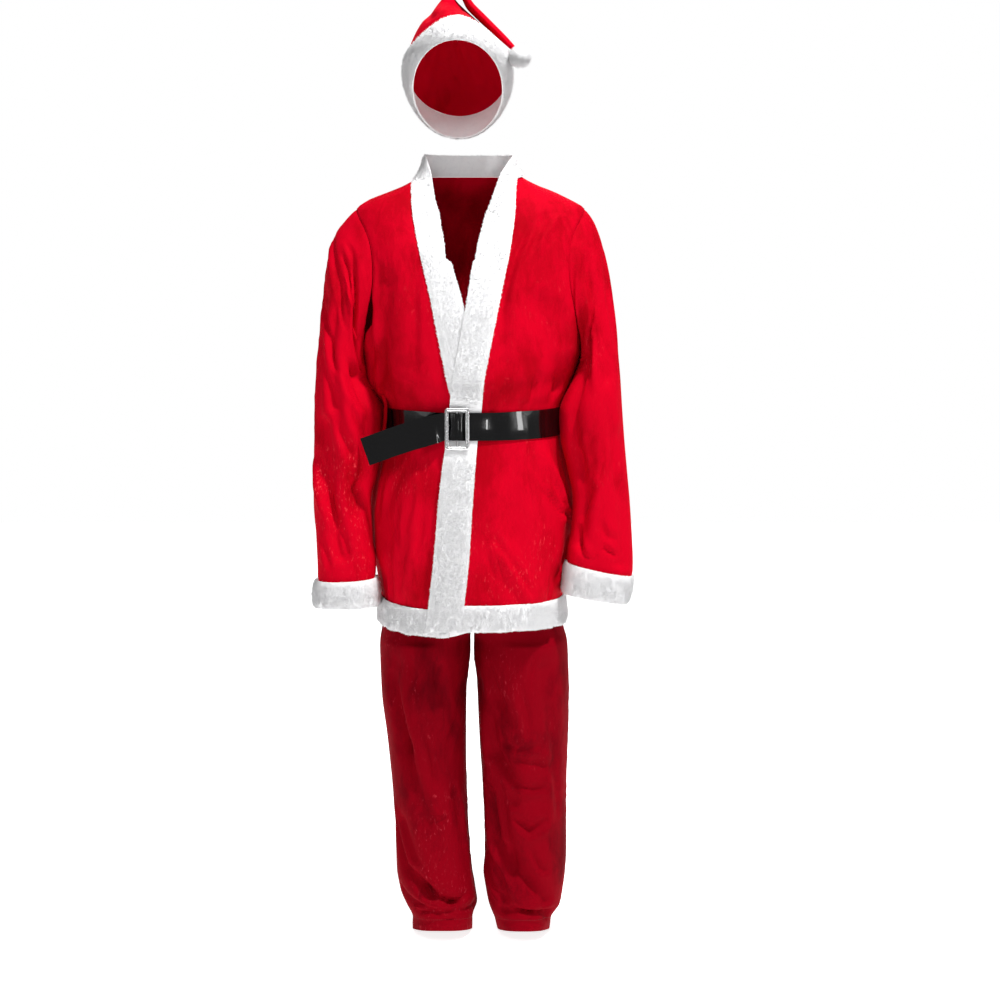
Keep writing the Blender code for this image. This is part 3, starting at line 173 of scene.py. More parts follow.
# Where the plush band turns from the chest on to the neck: the free edge beside each seam height.
NECK_TURN = rows(
    "seam_h left_angle right_angle free_h",
    [
        (-0.102, 10.5, -18.0, -0.102),
        (-0.0695, 15.0, -22.0, -0.067),
        (-0.0484, 20.0, -27.0, -0.045),
        (-0.041, 23.0, -30.0, -0.036),
        (-0.025, 30.0, -36.0, -0.018),
        (-0.010, 40.0, -45.0, 0.000),
        (0.004, 50.0, -54.0, 0.018),
        (0.016, 60.0, -63.0, 0.035),
    ],
)

# Sleeve sections from the armhole to the cuff's edge, measured from the jacket's middle: the outer and
# the inner point, the middle's Y and half the depth.
SLEEVE_NAMES = "out_x out_z in_x in_z y deep square"
LEFT_SLEEVE = rows(
    SLEEVE_NAMES,
    [
        (0.2000, -0.041, 0.1950, -0.285, 0.005, 0.075, 2.0),
        (0.2165, -0.064, 0.1954, -0.293, 0.004, 0.074, 2.0),
        (0.2290, -0.094, 0.1956, -0.301, 0.001, 0.072, 2.1),
        (0.2400, -0.140, 0.1945, -0.311, -0.003, 0.070, 2.2),
        (0.2490, -0.195, 0.1895, -0.323, -0.009, 0.067, 2.2),
        (0.2560, -0.255, 0.1810, -0.340, -0.018, 0.064, 2.3),
        (0.2620, -0.320, 0.1690, -0.365, -0.029, 0.061, 2.3),
        (0.2670, -0.385, 0.1580, -0.402, -0.037, 0.058, 2.3),
        (0.2720, -0.440, 0.1590, -0.445, -0.038, 0.056, 2.3),
        (0.2770, -0.500, 0.1705, -0.497, -0.042, 0.053, 2.3),
        (0.2810, -0.560, 0.1815, -0.552, -0.047, 0.050, 2.3),
        (0.2850, -0.620, 0.1785, -0.607, -0.053, 0.047, 2.3),
        (0.2870, -0.660, 0.1720, -0.642, -0.057, 0.045, 2.3),
        (0.2860, -0.689, 0.1690, -0.664, -0.060, 0.042, 2.2),
        (0.2830, -0.713, 0.1665, -0.692, -0.062, 0.041, 2.2),
        (0.2760, -0.738, 0.1630, -0.719, -0.062, 0.041, 2.2),
    ],
)
RIGHT_SLEEVE = rows(
    SLEEVE_NAMES,
    [
        (0.2040, -0.041, 0.1930, -0.285, 0.005, 0.075, 2.0),
        (0.2220, -0.060, 0.1936, -0.293, 0.004, 0.074, 2.0),
        (0.2420, -0.087, 0.1940, -0.301, 0.001, 0.072, 2.1),
        (0.2545, -0.128, 0.1930, -0.311, -0.003, 0.070, 2.2),
        (0.2630, -0.190, 0.1900, -0.323, -0.009, 0.067, 2.2),
        (0.2690, -0.255, 0.1875, -0.340, -0.017, 0.064, 2.3),
        (0.2750, -0.320, 0.1755, -0.365, -0.029, 0.061, 2.3),
        (0.2780, -0.385, 0.1590, -0.402, -0.037, 0.059, 2.3),
        (0.2790, -0.440, 0.1600, -0.445, -0.038, 0.057, 2.3),
        (0.2810, -0.500, 0.1685, -0.500, -0.042, 0.054, 2.3),
        (0.2820, -0.560, 0.1835, -0.556, -0.047, 0.051, 2.3),
        (0.2780, -0.620, 0.1800, -0.618, -0.053, 0.047, 2.3),
        (0.2760, -0.665, 0.1720, -0.662, -0.057, 0.045, 2.3),
        (0.2770, -0.697, 0.1710, -0.692, -0.060, 0.043, 2.2),
        (0.2800, -0.720, 0.1690, -0.716, -0.062, 0.042, 2.2),
        (0.2790, -0.744, 0.1680, -0.742, -0.062, 0.042, 2.2),
    ],
)
CUFF_SEAM_ROW = 13
ARMHOLE_FADE_ROWS = 5  # over these rows a sleeve turns from the armhole's shape into its own

# Trouser legs from hem to crotch: outer and inner X, front and back Y.
LEG_NAMES = "h out inn front back square"
LEFT_LEG = rows(
    LEG_NAMES,
    [
        (-1.368, 0.142, 0.044, 0.080, 0.084, 2.1),
        (-1.345, 0.146, 0.038, 0.079, 0.084, 2.1),
        (-1.318, 0.162, 0.029, 0.080, 0.085, 2.1),
        (-1.290, 0.167, 0.024, 0.078, 0.086, 2.1),
        (-1.255, 0.171, 0.020, 0.078, 0.087, 2.1),
        (-1.215, 0.173, 0.023, 0.079, 0.088, 2.1),
        (-1.120, 0.172, 0.020, 0.084, 0.090, 2.1),
        (-1.010, 0.174, 0.013, 0.093, 0.094, 2.1),
        (-0.895, 0.176, 0.009, 0.103, 0.104, 2.1),
        (-0.830, 0.174, 0.002, 0.111, 0.113, 2.1),
        (-0.780, 0.164, 0.002, 0.114, 0.118, 2.1),
    ],
)
RIGHT_LEG = rows(
    LEG_NAMES,
    [
        (-1.368, 0.113, 0.001, 0.078, 0.084, 2.1),
        (-1.345, 0.113, 0.000, 0.078, 0.084, 2.1),
        (-1.318, 0.124, -0.008, 0.079, 0.085, 2.1),
        (-1.290, 0.135, -0.004, 0.078, 0.086, 2.1),
        (-1.255, 0.141, 0.002, 0.078, 0.087, 2.1),
        (-1.215, 0.143, 0.006, 0.079, 0.088, 2.1),
        (-1.120, 0.147, 0.011, 0.084, 0.090, 2.1),
        (-1.010, 0.156, 0.013, 0.093, 0.094, 2.1),
        (-0.915, 0.167, 0.012, 0.102, 0.103, 2.1),
        (-0.830, 0.170, 0.004, 0.111, 0.113, 2.1),
        (-0.780, 0.164, 0.003, 0.114, 0.118, 2.1),
    ],
)

# The trousers' seat above the crotch.
HIP = rows(
    "h side front back square",
    [
        (-0.815, 0.1680, 0.115, 0.120, 2.2),
        (-0.780, 0.1635, 0.117, 0.122, 2.2),
        (-0.730, 0.1590, 0.119, 0.126, 2.2),
        (-0.660, 0.1610, 0.120, 0.128, 2.2),
        (-0.600, 0.1620, 0.119, 0.124, 2.2),
        (-0.520, 0.1580, 0.118, 0.113, 2.3),
        (-0.440, 0.1530, 0.122, 0.106, 2.3),
    ],
)

# The hat from its lower edge along the crown, over the fold and down to the tip: the middle of each
# section, and the ways from there to its front and to its left side.
HAT = rows(
    "x y z front_y front_z left_x left_z sag_right sag_left",
    [
        (-0.0240, -0.0090, 0.1650, -0.0845, 0.0790, 0.0790, 0.0000, 0.0000, 0.0000),
        (-0.0240, -0.0020, 0.1790, -0.0885, 0.0795, 0.0885, 0.0000, 0.0040, 0.0040),
        (-0.0240, 0.0065, 0.1925, -0.0910, 0.0800, 0.0930, 0.0000, 0.0080, 0.0080),
        (-0.0240, 0.0160, 0.2055, -0.0925, 0.0795, 0.0930, 0.0000, 0.0115, 0.0125),
        (-0.0290, 0.0330, 0.2330, -0.0900, 0.0620, 0.0800, 0.0000, 0.0030, 0.0140),
        (-0.0325, 0.0420, 0.2600, -0.0780, 0.0440, 0.0640, 0.0000, 0.0000, 0.0130),
        (-0.0355, 0.0460, 0.2840, -0.0600, 0.0280, 0.0450, 0.0000, 0.0000, 0.0100),
        (-0.0380, 0.0470, 0.3040, -0.0420, 0.0160, 0.0280, -0.0010, 0.0000, 0.0060),
        (-0.0395, 0.0450, 0.3220, -0.0320, 0.0080, 0.0130, -0.0020, 0.0000, 0.0020),
        (-0.0365, 0.0415, 0.3350, -0.0290, 0.0040, 0.0050, -0.0035, 0.0000, 0.0000),
        (-0.0260, 0.0370, 0.3395, -0.0280, 0.0020, 0.0000, -0.0055, 0.0000, 0.0000),
        (-0.0145, 0.0310, 0.3320, -0.0270, 0.0000, -0.0040, -0.0050, 0.0000, 0.0000),
        (-0.0030, 0.0220, 0.3130, -0.0250, 0.0000, -0.0055, -0.0055, 0.0000, 0.0000),
        (0.0160, 0.0120, 0.2930, -0.0220, 0.0000, -0.0055, -0.0055, 0.0000, 0.0000),
        (0.0365, 0.0010, 0.2725, -0.0190, 0.0000, -0.0055, -0.0050, 0.0000, 0.0000),
        (0.0562, -0.0135, 0.2530, -0.0120, 0.0000, -0.0050, -0.0045, 0.0000, 0.0000),
        (0.0735, -0.0290, 0.2350, -0.0070, 0.0000, -0.0040, -0.0035, 0.0000, 0.0000),
    ],
)
HAT_BAND_ROW = 3

# Large folds: from one place to another on a piece, with the trough's width and depth. Angles are in
# degrees round the piece, and a negative depth is a ridge.
FOLD_NAMES = "angle_a h_a angle_b h_b width depth"
JACKET_FOLDS = rows(
    FOLD_NAMES,
    [
        (-58, -0.16, -62, -0.34, 0.017, 0.01),
        (-40, -0.13, -30, -0.30, 0.024, 0.005),
        (-66, -0.30, -38, -0.375, 0.017, 0.0085),
        (-52, -0.46, -60, -0.62, 0.022, 0.0085),
        (-30, -0.50, -38, -0.70, 0.024, -0.005),
        (-74, -0.47, -78, -0.68, 0.019, 0.007),
        (30, -0.08, 22, -0.30, 0.019, 0.005),
        (40, -0.10, 27, -0.34, 0.017, -0.005),
        (52, -0.20, 60, -0.36, 0.022, 0.0085),
        (30, -0.35, 66, -0.34, 0.017, 0.005),
        (8, -0.58, 40, -0.72, 0.019, -0.007),
        (48, -0.46, 66, -0.58, 0.017, -0.0085),
        (64, -0.46, 74, -0.66, 0.019, 0.0085),
        (20, -0.46, 26, -0.60, 0.026, 0.005),
        (112, -0.14, 120, -0.34, 0.024, 0.0085),
        (150, -0.16, 146, -0.36, 0.026, 0.007),
        (176, -0.10, 182, -0.33, 0.029, 0.007),
        (214, -0.15, 206, -0.35, 0.024, 0.0085),
        (246, -0.16, 240, -0.35, 0.022, 0.0085),
        (128, -0.46, 120, -0.70, 0.026, 0.012),
        (158, -0.46, 154, -0.66, 0.024, 0.0085),
        (190, -0.45, 194, -0.72, 0.029, 0.012),
        (222, -0.46, 232, -0.68, 0.024, 0.01),
        (250, -0.47, 254, -0.70, 0.022, 0.0085),
    ],
)
HEM_WAVES = rows(
    FOLD_NAMES,
    [
        (-62, -0.800, -62, -0.757, 0.006, 0.004),
        (-55, -0.800, -55, -0.757, 0.005, -0.003),
        (-48, -0.800, -47, -0.755, 0.006, 0.004),
        (-40, -0.800, -39, -0.757, 0.006, -0.004),
        (-33, -0.800, -33, -0.757, 0.005, 0.004),
        (28, -0.800, 29, -0.760, 0.007, 0.003),
        (58, -0.800, 58, -0.757, 0.006, 0.004),
        (67, -0.800, 66, -0.757, 0.006, -0.003),
        (112, -0.800, 112, -0.757, 0.008, 0.005),
        (140, -0.800, 141, -0.757, 0.009, -0.004),
        (166, -0.800, 165, -0.757, 0.008, 0.005),
        (197, -0.800, 198, -0.757, 0.009, 0.005),
        (224, -0.800, 224, -0.757, 0.008, -0.004),
        (250, -0.800, 250, -0.757, 0.007, 0.005),
    ],
)

# On a sleeve the angle runs from its outer side (0) over the front (90) to the inner side (180), and
# the height is the number of the row.
RIGHT_SLEEVE_FOLDS = rows(
    FOLD_NAMES,
    [
        (62, 2.0, 66, 6.8, 0.014, 0.0105),
        (132, 5.0, 138, 9.4, 0.019, 0.0175),
        (50, 7.6, 84, 11.6, 0.015, 0.012),
        (112, 9.2, 126, 10.2, 0.013, 0.009),
        (30, 4.0, 36, 9.0, 0.015, 0.006),
        (250, 3.0, 262, 7.6, 0.018, 0.0105),
        (296, 6.0, 286, 11.4, 0.018, 0.009),
        (214, 7.6, 240, 10.6, 0.015, 0.009),
        (88, 14.4, 88, 16.0, 0.010, 0.0045),
        (140, 14.4, 141, 16.0, 0.010, 0.0045),
        (300, 14.4, 301, 16.0, 0.011, 0.0045),
    ],
)
LEFT_SLEEVE_FOLDS = rows(
    FOLD_NAMES,
    [
        (64, 1.6, 60, 6.0, 0.016, 0.0075),
        (122, 3.4, 134, 9.0, 0.018, 0.014),
        (96, 9.4, 140, 12.6, 0.015, -0.006),
        (124, 8.6, 136, 11.4, 0.015, 0.0105),
        (40, 8.0, 52, 12.2, 0.016, 0.006),
        (256, 3.0, 246, 7.8, 0.018, 0.0105),
        (300, 5.6, 290, 11.2, 0.018, 0.009),
        (222, 8.0, 236, 11.4, 0.015, 0.009),
        (70, 14.4, 70, 16.0, 0.010, 0.0045),
        (122, 14.4, 122, 16.0, 0.011, 0.0045),
        (282, 14.4, 282, 16.0, 0.011, 0.0045),
    ],
)
SLEEVE_ROW_STEP = 0.052  # metres from one sleeve row to the next, for the folds' heights

# On a leg the angle runs from the outer side (0) over the front (90) to the inner side (180).
RIGHT_LEG_FOLDS = rows(
    FOLD_NAMES,
    [
        (50, -0.82, 62, -1.00, 0.017, 0.0095),
        (62, -1.00, 86, -1.14, 0.017, 0.0095),
        (110, -0.86, 104, -1.05, 0.022, 0.0065),
        (40, -1.15, 80, -1.28, 0.017, 0.011),
        (80, -1.27, 120, -1.30, 0.013, 0.011),
        (20, -1.285, 84, -1.325, 0.012, 0.0095),
        (100, -1.325, 170, -1.320, 0.012, 0.0095),
        (270, -0.86, 262, -1.10, 0.024, 0.011),
        (300, -0.92, 306, -1.20, 0.022, 0.008),
        (236, -1.05, 250, -1.26, 0.019, 0.0095),
        (200, -1.292, 330, -1.300, 0.013, 0.0095),
        (215, -1.335, 300, -1.328, 0.012, 0.008),
    ],
)
LEFT_LEG_FOLDS = rows(
    FOLD_NAMES,
    [
        (128, -0.92, 108, -1.10, 0.016, 0.008),
        (136, -1.02, 112, -1.24, 0.016, 0.011),
        (112, -1.20, 56, -1.30, 0.014, 0.011),
        (60, -0.86, 70, -1.10, 0.024, 0.0065),
        (96, -1.02, 52, -1.04, 0.013, 0.0065),
        (150, -1.10, 120, -1.29, 0.014, 0.0095),
        (126, -1.318, 40, -1.332, 0.012, 0.0095),
        (270, -0.86, 276, -1.10, 0.024, 0.011),
        (304, -0.95, 296, -1.22, 0.022, 0.008),
        (238, -1.04, 252, -1.25, 0.019, 0.0095),
        (200, -1.296, 330, -1.290, 0.013, 0.0095),
        (220, -1.330, 310, -1.336, 0.012, 0.008),
    ],
)
HAT_FOLDS = rows(
    FOLD_NAMES,
    [
        (-30, 4.2, -60, 6.4, 0.011, 0.006),
        (20, 5.2, 60, 7.2, 0.010, 0.006),
        (150, 4.4, 170, 6.8, 0.011, 0.006),
        (225, 4.4, 210, 6.6, 0.011, 0.0045),
    ],
)
HAT_ROW_STEP = 0.034

# The strap's way through the buckle: X, and how far its inner face is raised over its first ply's bed.
THREADING = rows(
    "x raised",
    [
        (0.0060, 0.0000),
        (-0.0060, 0.0005),
        (-0.0110, 0.0023),
        (-0.0165, 0.0064),
        (-0.0205, 0.0085),
        (-0.0232, 0.0088),
        (-0.0262, 0.0086),
        (-0.0300, 0.0061),
        (-0.0350, 0.0032),
        (-0.0390, 0.0021),
        (-0.0450, 0.0019),
    ],
)
# The free end beyond the buckle: the middle of the strap.
TAIL = rows(
    "x y z",
    [
        (-0.062, -0.1372, -0.4185),
        (-0.084, -0.1330, -0.4255),
        (-0.106, -0.1255, -0.4325),
        (-0.128, -0.1165, -0.4405),
        (-0.150, -0.1075, -0.4490),
        (-0.170, -0.1005, -0.4570),
        (-0.187, -0.0960, -0.4635),
    ],
)
# A belt loop's way down the side: height and how far it stands off the jacket.
LOOP_WAY = rows(
    "h right_off left_off",
    [
        (-0.366, -0.0005, 0.0005),
        (-0.374, 0.0025, 0.0020),
        (-0.385, 0.0065, 0.0050),
        (-0.400, 0.0085, 0.0060),
        (-0.416, 0.0100, 0.0060),
        (-0.431, 0.0110, 0.0050),
        (-0.443, 0.0080, 0.0040),
        (-0.452, 0.0030, 0.0020),
        (-0.460, -0.0002, 0.0008),
    ],
)


# Where a form fades out, from its start to its end: X across the fronts, or a height.
LAP_FADE_X = (0.036, 0.088)  # the lift of the left front over the right's plush band
LAP_FADE_H = (-0.20, -0.09)
PLY_RIGHT_X = (-0.100, -0.084)  # the stretch where two fronts lie on each other, free of deep folds
PLY_LEFT_X = (0.040, 0.062)
PLY_FADE_H = (-0.20, -0.12)
BED_RIGHT_X = (-0.105, -0.046)  # the belt's rise over both plush bands
BED_LEFT_X = (0.030, 0.094)
SEAT_FADE_H = (-0.475, WAIST_SEAM)  # where the trousers' top takes the waistband's round form


# ------------------------------------------------------------------ curves and surfaces


def between(keys, values, at):
    """A table column read between its rows, on a smooth curve that does not overshoot."""
    margin = 0.01 * (keys[-1] - keys[0])
    at = np.clip(at, keys[0] - margin, keys[-1] + margin)
    step = np.diff(keys)
    slope = np.diff(values) / step
    lean = np.empty(len(keys))
    lean[0], lean[-1] = slope[0], slope[-1]
    product = slope[:-1] * slope[1:]
    total = np.where(product > 0, slope[:-1] + slope[1:], 1.0)
    lean[1:-1] = np.where(product > 0, 2 * product / total, 0.0)
    i = np.clip(np.searchsorted(keys, at, side="right") - 1, 0, len(keys) - 2)
    t = (at - keys[i]) / step[i]
    start = (1 + 2 * t) * (1 - t) ** 2 * values[i] + t * (1 - t) ** 2 * step[i] * lean[i]
    end = t * t * (3 - 2 * t) * values[i + 1] - t * t * (1 - t) * step[i] * lean[i + 1]
    return start + end


def read(table, key, at):
    """Every other column of a table at the given places of its key column."""
    return {name: between(table[key], table[name], at) for name in table if name != key}


def read_rows(table, at):
    """Every column of a table at fractional row numbers."""
    numbers = np.arange(len(next(iter(table.values()))), dtype=float)
    return {name: between(numbers, table[name], at) for name in table}


def fade(value, start, end):
    """0 before start, 1 after end, and smooth between them."""
    t = np.clip((value - start) / (end - start), 0, 1)
    return t * t * (3 - 2 * t)


def folded(table, angle, height, reach, step=1.0):
    """How deep the troughs of a fold table are at each place. reach turns angles into lengths."""
    total = np.zeros(np.broadcast(angle, height).shape)
    for angle_a, h_a, angle_b, h_b, width, depth in zip(*table.values()):
        turn = (angle - math.radians(angle_a) + math.pi) % (2 * math.pi) - math.pi
        ahead = np.array([math.radians(angle_b - angle_a) * reach, (h_b - h_a) * step])
        across, up = turn * reach, (height - h_a) * step
        t = np.clip((across * ahead[0] + up * ahead[1]) / (ahead @ ahead), 0, 1)
        away = (across - t * ahead[0]) ** 2 + (up - t * ahead[1]) ** 2
        total += depth * np.exp(-away / width**2)
    return total


def normals(surface, u, v, step_u=1e-4, step_v=1e-4):
    """Unit normals of surface(u, v), by differences."""
    along = surface(u + step_u, v) - surface(u - step_u, v)
    up = surface(u, v + step_v) - surface(u, v - step_v)
    out = np.cross(along, up)
    return out / np.linalg.norm(out, axis=-1, keepdims=True)


def torso(angle, h, hang=0.0):
    """The smooth form of the jacket. Angle 0 is the front and 90 degrees the wearer's left side."""
    ring = read(TORSO, "h", h)
    sine, cosine = np.sin(angle), np.cos(angle)
    wide = np.where(sine > 0, ring["left"] - ring["mid"], ring["right"] + ring["mid"])
    deep = np.where(cosine > 0, ring["front"] + ring["side"], ring["back"] - ring["side"])
    power = ring["square"]
    reach = ((np.abs(sine) / wide) ** power + (np.abs(cosine) / deep) ** power) ** (-1 / power)
    drop = ring["sink"] + hang * fade(-h, 0.45, 0.78)
    z = h - drop * np.clip(cosine, 0, 1) ** 2
    return np.stack([ring["mid"] + reach * sine, ring["side"] - reach * cosine, z], axis=-1)


def angle_at(x, h):
    """The angle at which the front of the jacket has this X."""
    ring = read(TORSO, "h", h)
    wide = np.where(x > ring["mid"], ring["left"] - ring["mid"], ring["right"] + ring["mid"])
    share = np.clip(np.abs(x - ring["mid"]) / wide, 0, 0.999) ** ring["square"]
    y = (ring["front"] + ring["side"]) * (1 - share) ** (1 / ring["square"])
    return np.arctan2(x - ring["mid"], y)


def angle_beside(y, h, side):
    """The angle at which the jacket's side has this Y."""
    ring = read(TORSO, "h", h)
    wide = ring["left"] - ring["mid"] if side > 0 else ring["right"] + ring["mid"]
    deep = np.where(y < ring["side"], ring["front"] + ring["side"], ring["back"] - ring["side"])
    share = np.clip(np.abs(y - ring["side"]) / deep, 0, 0.999) ** ring["square"]
    return side * np.arctan2(wide * (1 - share) ** (1 / ring["square"]), ring["side"] - y)


def squeeze(h):
    """1 where plush stands free, and less under the belt."""
    return 1 - 0.6 * np.exp(-(((h - BELT_HEIGHT) / 0.050) ** 4))


def lap(angle, h):
    """How far the left front is carried out by the right front's plush band below it."""
    ply = PILE * squeeze(h) + CLOTH + PLY_GAP
    x = torso(angle, h)[..., 0]
    return ply * (1 - fade(x, *LAP_FADE_X)) * (1 - fade(h, *LAP_FADE_H))


def jacket_folds(angle, h):
    """Troughs in the jacket's cloth: none under the belt, on the yoke or where the fronts overlap."""
    calm = fade(np.abs(h - BELT_HEIGHT), 0.024, 0.075) * fade(-h, -SHOULDER, -SHOULDER + 0.06)
    x = torso(angle, h)[..., 0]
    fronts = fade(x, *PLY_RIGHT_X) * (1 - fade(x, *PLY_LEFT_X)) * (np.cos(angle) > 0)
    single = 1 - fronts * (1 - fade(h, *PLY_FADE_H))
    waves = folded(HEM_WAVES, angle, h, JACKET_REACH)
    return single * (calm * folded(JACKET_FOLDS, angle, h, JACKET_REACH) + waves)


def skin(side):
    """The outer face of the cloth and the way out from it: side -1 is the right front with the back, 1 the
    left front."""

    def face(angle, h):
        hang = RIGHT_FRONT_HANGS if side < 0 else 0.0
        base = torso(angle, h, hang)
        out = normals(lambda a, b: torso(a, b, hang), angle, h)
        lift = lap(angle, h) if side > 0 else 0.0
        return base + out * np.expand_dims(lift - jacket_folds(angle, h), -1), out

    return face


def draw_in(points, amount, sides):
    """Pulls the edges of a grid of points back by a small amount, so that neighbours stay apart."""
    moved = points.copy()
    edges = {
        "first_row": (np.s_[0], np.s_[1]),
        "last_row": (np.s_[-1], np.s_[-2]),
        "first_column": (np.s_[:, 0], np.s_[:, 1]),
        "last_column": (np.s_[:, -1], np.s_[:, -2]),
    }
    for side in sides:
        edge, inside = edges[side]
        back = points[inside] - points[edge]
        moved[edge] += amount * back / np.linalg.norm(back, axis=-1, keepdims=True)
    return moved


def edge_angle(column, h, side):
    """The angle of a front edge at a row: its table gives X for a real height."""
    z = np.array(h, float)
    hang = RIGHT_FRONT_HANGS if side < 0 else 0.0
    for _ in range(4):
        angle = angle_at(between(FRONT_EDGES["z"], FRONT_EDGES[column], z), h)
        z = torso(angle, h, hang)[..., 2]
    return angle


def armhole_angle(h, side, reach):
    """The angle of the armhole's front or back edge, or of the side seam away from it."""
    middle, half = (ARMPIT + SHOULDER) / 2, (SHOULDER - ARMPIT) / 2
    open_here = np.sqrt(np.clip(1 - ((h - middle) / half) ** 2, 0, 1))
    ring = read(TORSO, "h", h)
    return angle_beside(ring["side"] + reach * open_here, h, side)


def front_grid(h, side, columns):
    """Angles of a front panel, from its plush seam to the side."""
    seam = edge_angle("left_seam" if side > 0 else "right_seam", h, side)
    edge = armhole_angle(h, side, -ARMHOLE_FRONT)
    share = np.linspace(0, 1, columns)
    return seam[:, None] + (edge - seam)[:, None] * share, np.repeat(h[:, None], columns, 1)


def back_grid(h, columns):
    """Angles of the back, from the left side round to the right side."""
    start = armhole_angle(h, 1, ARMHOLE_BACK)
    end = 2 * math.pi + armhole_angle(h, -1, ARMHOLE_BACK)
    share = np.linspace(0, 1, columns)
    return start[:, None] + (end - start)[:, None] * share, np.repeat(h[:, None], columns, 1)


def plush_height(h, share):
    """How far a plush band's face stands out, across its width from 0 to 1."""
    rounded = np.interp(share, [0, 0.16, 0.84, 1], [0.62, 1.0, 1.0, 0.55])
    return PILE * squeeze(h) * rounded


def armhole(turn, side):
    """The armhole's edge: turn 0 is the shoulder, 90 degrees the front and 180 the armpit."""
    h = (ARMPIT + SHOULDER) / 2 + (SHOULDER - ARMPIT) / 2 * np.cos(turn)
    reach = np.where(np.sin(turn) > 0, -ARMHOLE_FRONT, ARMHOLE_BACK) * np.abs(np.sin(turn))
    ring = read(TORSO, "h", h)
    return skin(side)(angle_beside(ring["side"] + reach, h, side), h)[0]


def sleeve(side):
    """The outer face of a sleeve and its cuff, by turn and row number, and the way out from it."""
    table = LEFT_SLEEVE if side > 0 else RIGHT_SLEEVE
    fold_table = LEFT_SLEEVE_FOLDS if side > 0 else RIGHT_SLEEVE_FOLDS

    def ring(turn, row):
        at = read_rows(table, row)
        sine, cosine = np.sin(turn), np.cos(turn)
        power = at["square"]
        reach = (np.abs(sine) ** power + np.abs(cosine) ** power) ** (-1 / power)
        x = (at["out_x"] + at["in_x"]) / 2 + (at["out_x"] - at["in_x"]) / 2 * reach * cosine
        z = (at["out_z"] + at["in_z"]) / 2 + (at["out_z"] - at["in_z"]) / 2 * reach * cosine
        return np.stack([side * x, at["y"] - at["deep"] * reach * sine, z], axis=-1)

    def smooth(turn, row):
        turn, row = np.broadcast_arrays(np.asarray(turn, float), np.asarray(row, float))
        near = np.expand_dims(1 - fade(row, 0, ARMHOLE_FADE_ROWS), -1)
        return ring(turn, row) + near * (armhole(turn, side) - ring(turn, np.zeros_like(row)))

    def face(turn, row):
        depth = folded(fold_table, turn, row, SLEEVE_REACH, SLEEVE_ROW_STEP) * fade(row, 0.2, 2.0)
        out = side * normals(smooth, turn, row, 1e-3, 1e-3)
        return smooth(turn, row) - out * np.expand_dims(depth, -1), out

    return face


def waist_face(angle, h, gap=PLY_GAP):
    """The inside of the jacket, where the waistband lies against it."""
    points, out = skin(-1)(angle, h)
    return points - out * (CLOTH + gap), out


def leg(side):
    """The outer face of a trouser leg, by turn and height, and the way out from it."""
    table = LEFT_LEG if side > 0 else RIGHT_LEG
    fold_table = LEFT_LEG_FOLDS if side > 0 else RIGHT_LEG_FOLDS

    def tube(turn, h):
        at = read(table, "h", h)
        sine, cosine = np.sin(turn), np.cos(turn)
        deep = np.where(sine > 0, at["front"], at["back"])
        power = at["square"]
        reach = (np.abs(sine) ** power + np.abs(cosine) ** power) ** (-1 / power)
        x = (at["out"] + at["inn"]) / 2 + (at["out"] - at["inn"]) / 2 * reach * cosine
        z = h + FRONT_BREAK * fade(-h, 1.27, -TROUSER_HEM) * np.clip(sine, 0, 1)
        return np.stack([side * x, -deep * reach * sine, z], axis=-1)

    def seat(turn, h):
        at = read(HIP, "h", h)
        back = turn > math.pi
        deep = np.where(back, at["back"], at["front"])
        turned = np.where(back, math.pi - turn / 2, turn / 2)
        sine, cosine = np.sin(turned), np.cos(turned)
        power = at["square"]
        reach = ((np.abs(cosine) / at["side"]) ** power + (np.abs(sine) / deep) ** power) ** (-1 / power)
        x = reach * cosine
        y = np.where(back, 1, -1) * reach * sine
        form = np.stack([side * x, y, h + 0 * x], axis=-1)
        round_waist = side * np.where(back, math.pi / 2 + turned, math.pi / 2 - turned)
        band, _ = waist_face(round_waist, h, 2 * PLY_GAP)
        near = np.expand_dims(fade(h, *SEAT_FADE_H), -1)
        return form * (1 - near) + band * near

    def smooth(turn, h):
        turn, h = np.broadcast_arrays(np.asarray(turn, float), np.asarray(h, float))
        rise = np.clip((h - CROTCH) / CROTCH_RISE, 0, 1)
        joined = np.expand_dims(np.sqrt(np.clip(1 - (1 - rise) ** 2, 0, 1)), -1)
        return tube(turn, h) * (1 - joined) + seat(turn, h) * joined

    def face(turn, h):
        free = fade(-h, -CROTCH, -CROTCH + 0.05)
        depth = free * folded(fold_table, turn, h, LEG_REACH)
        out = -side * normals(smooth, turn, h, 5e-5)
        return smooth(turn, h) - out * np.expand_dims(depth, -1), out

    return face


def girth(h):
    """Angles once round the waist, at the columns of the jacket's own panels."""
    right = front_grid(h, -1, FRONT_COLUMNS)[0][:, ::-1]
    left = front_grid(h, 1, FRONT_COLUMNS)[0]
    back = back_grid(h, BACK_COLUMNS)[0][:, 1:-1]
    middle = (right[:, -1:] + left[:, :1]) / 2
    return np.concatenate([right, middle, left, back], axis=1)


def hat(turn, row):
    """The hat's form. Turn 0 is its front, 90 degrees the wearer's left."""
    turn, row = np.broadcast_arrays(np.asarray(turn, float), np.asarray(row, float))
    at = read_rows(HAT, row)
    sag = np.where(np.sin(turn) > 0, at["sag_left"], at["sag_right"]) * np.sin(2 * turn) ** 2
    middle = np.stack([at["x"], at["y"], at["z"] - sag * (np.cos(turn) > 0)], axis=-1)
    ahead = np.stack([0 * turn, at["front_y"], at["front_z"]], axis=-1)
    beside = np.stack([at["left_x"], 0 * turn, at["left_z"]], axis=-1)
    return middle + ahead * np.cos(turn)[..., None] + beside * np.sin(turn)[..., None]


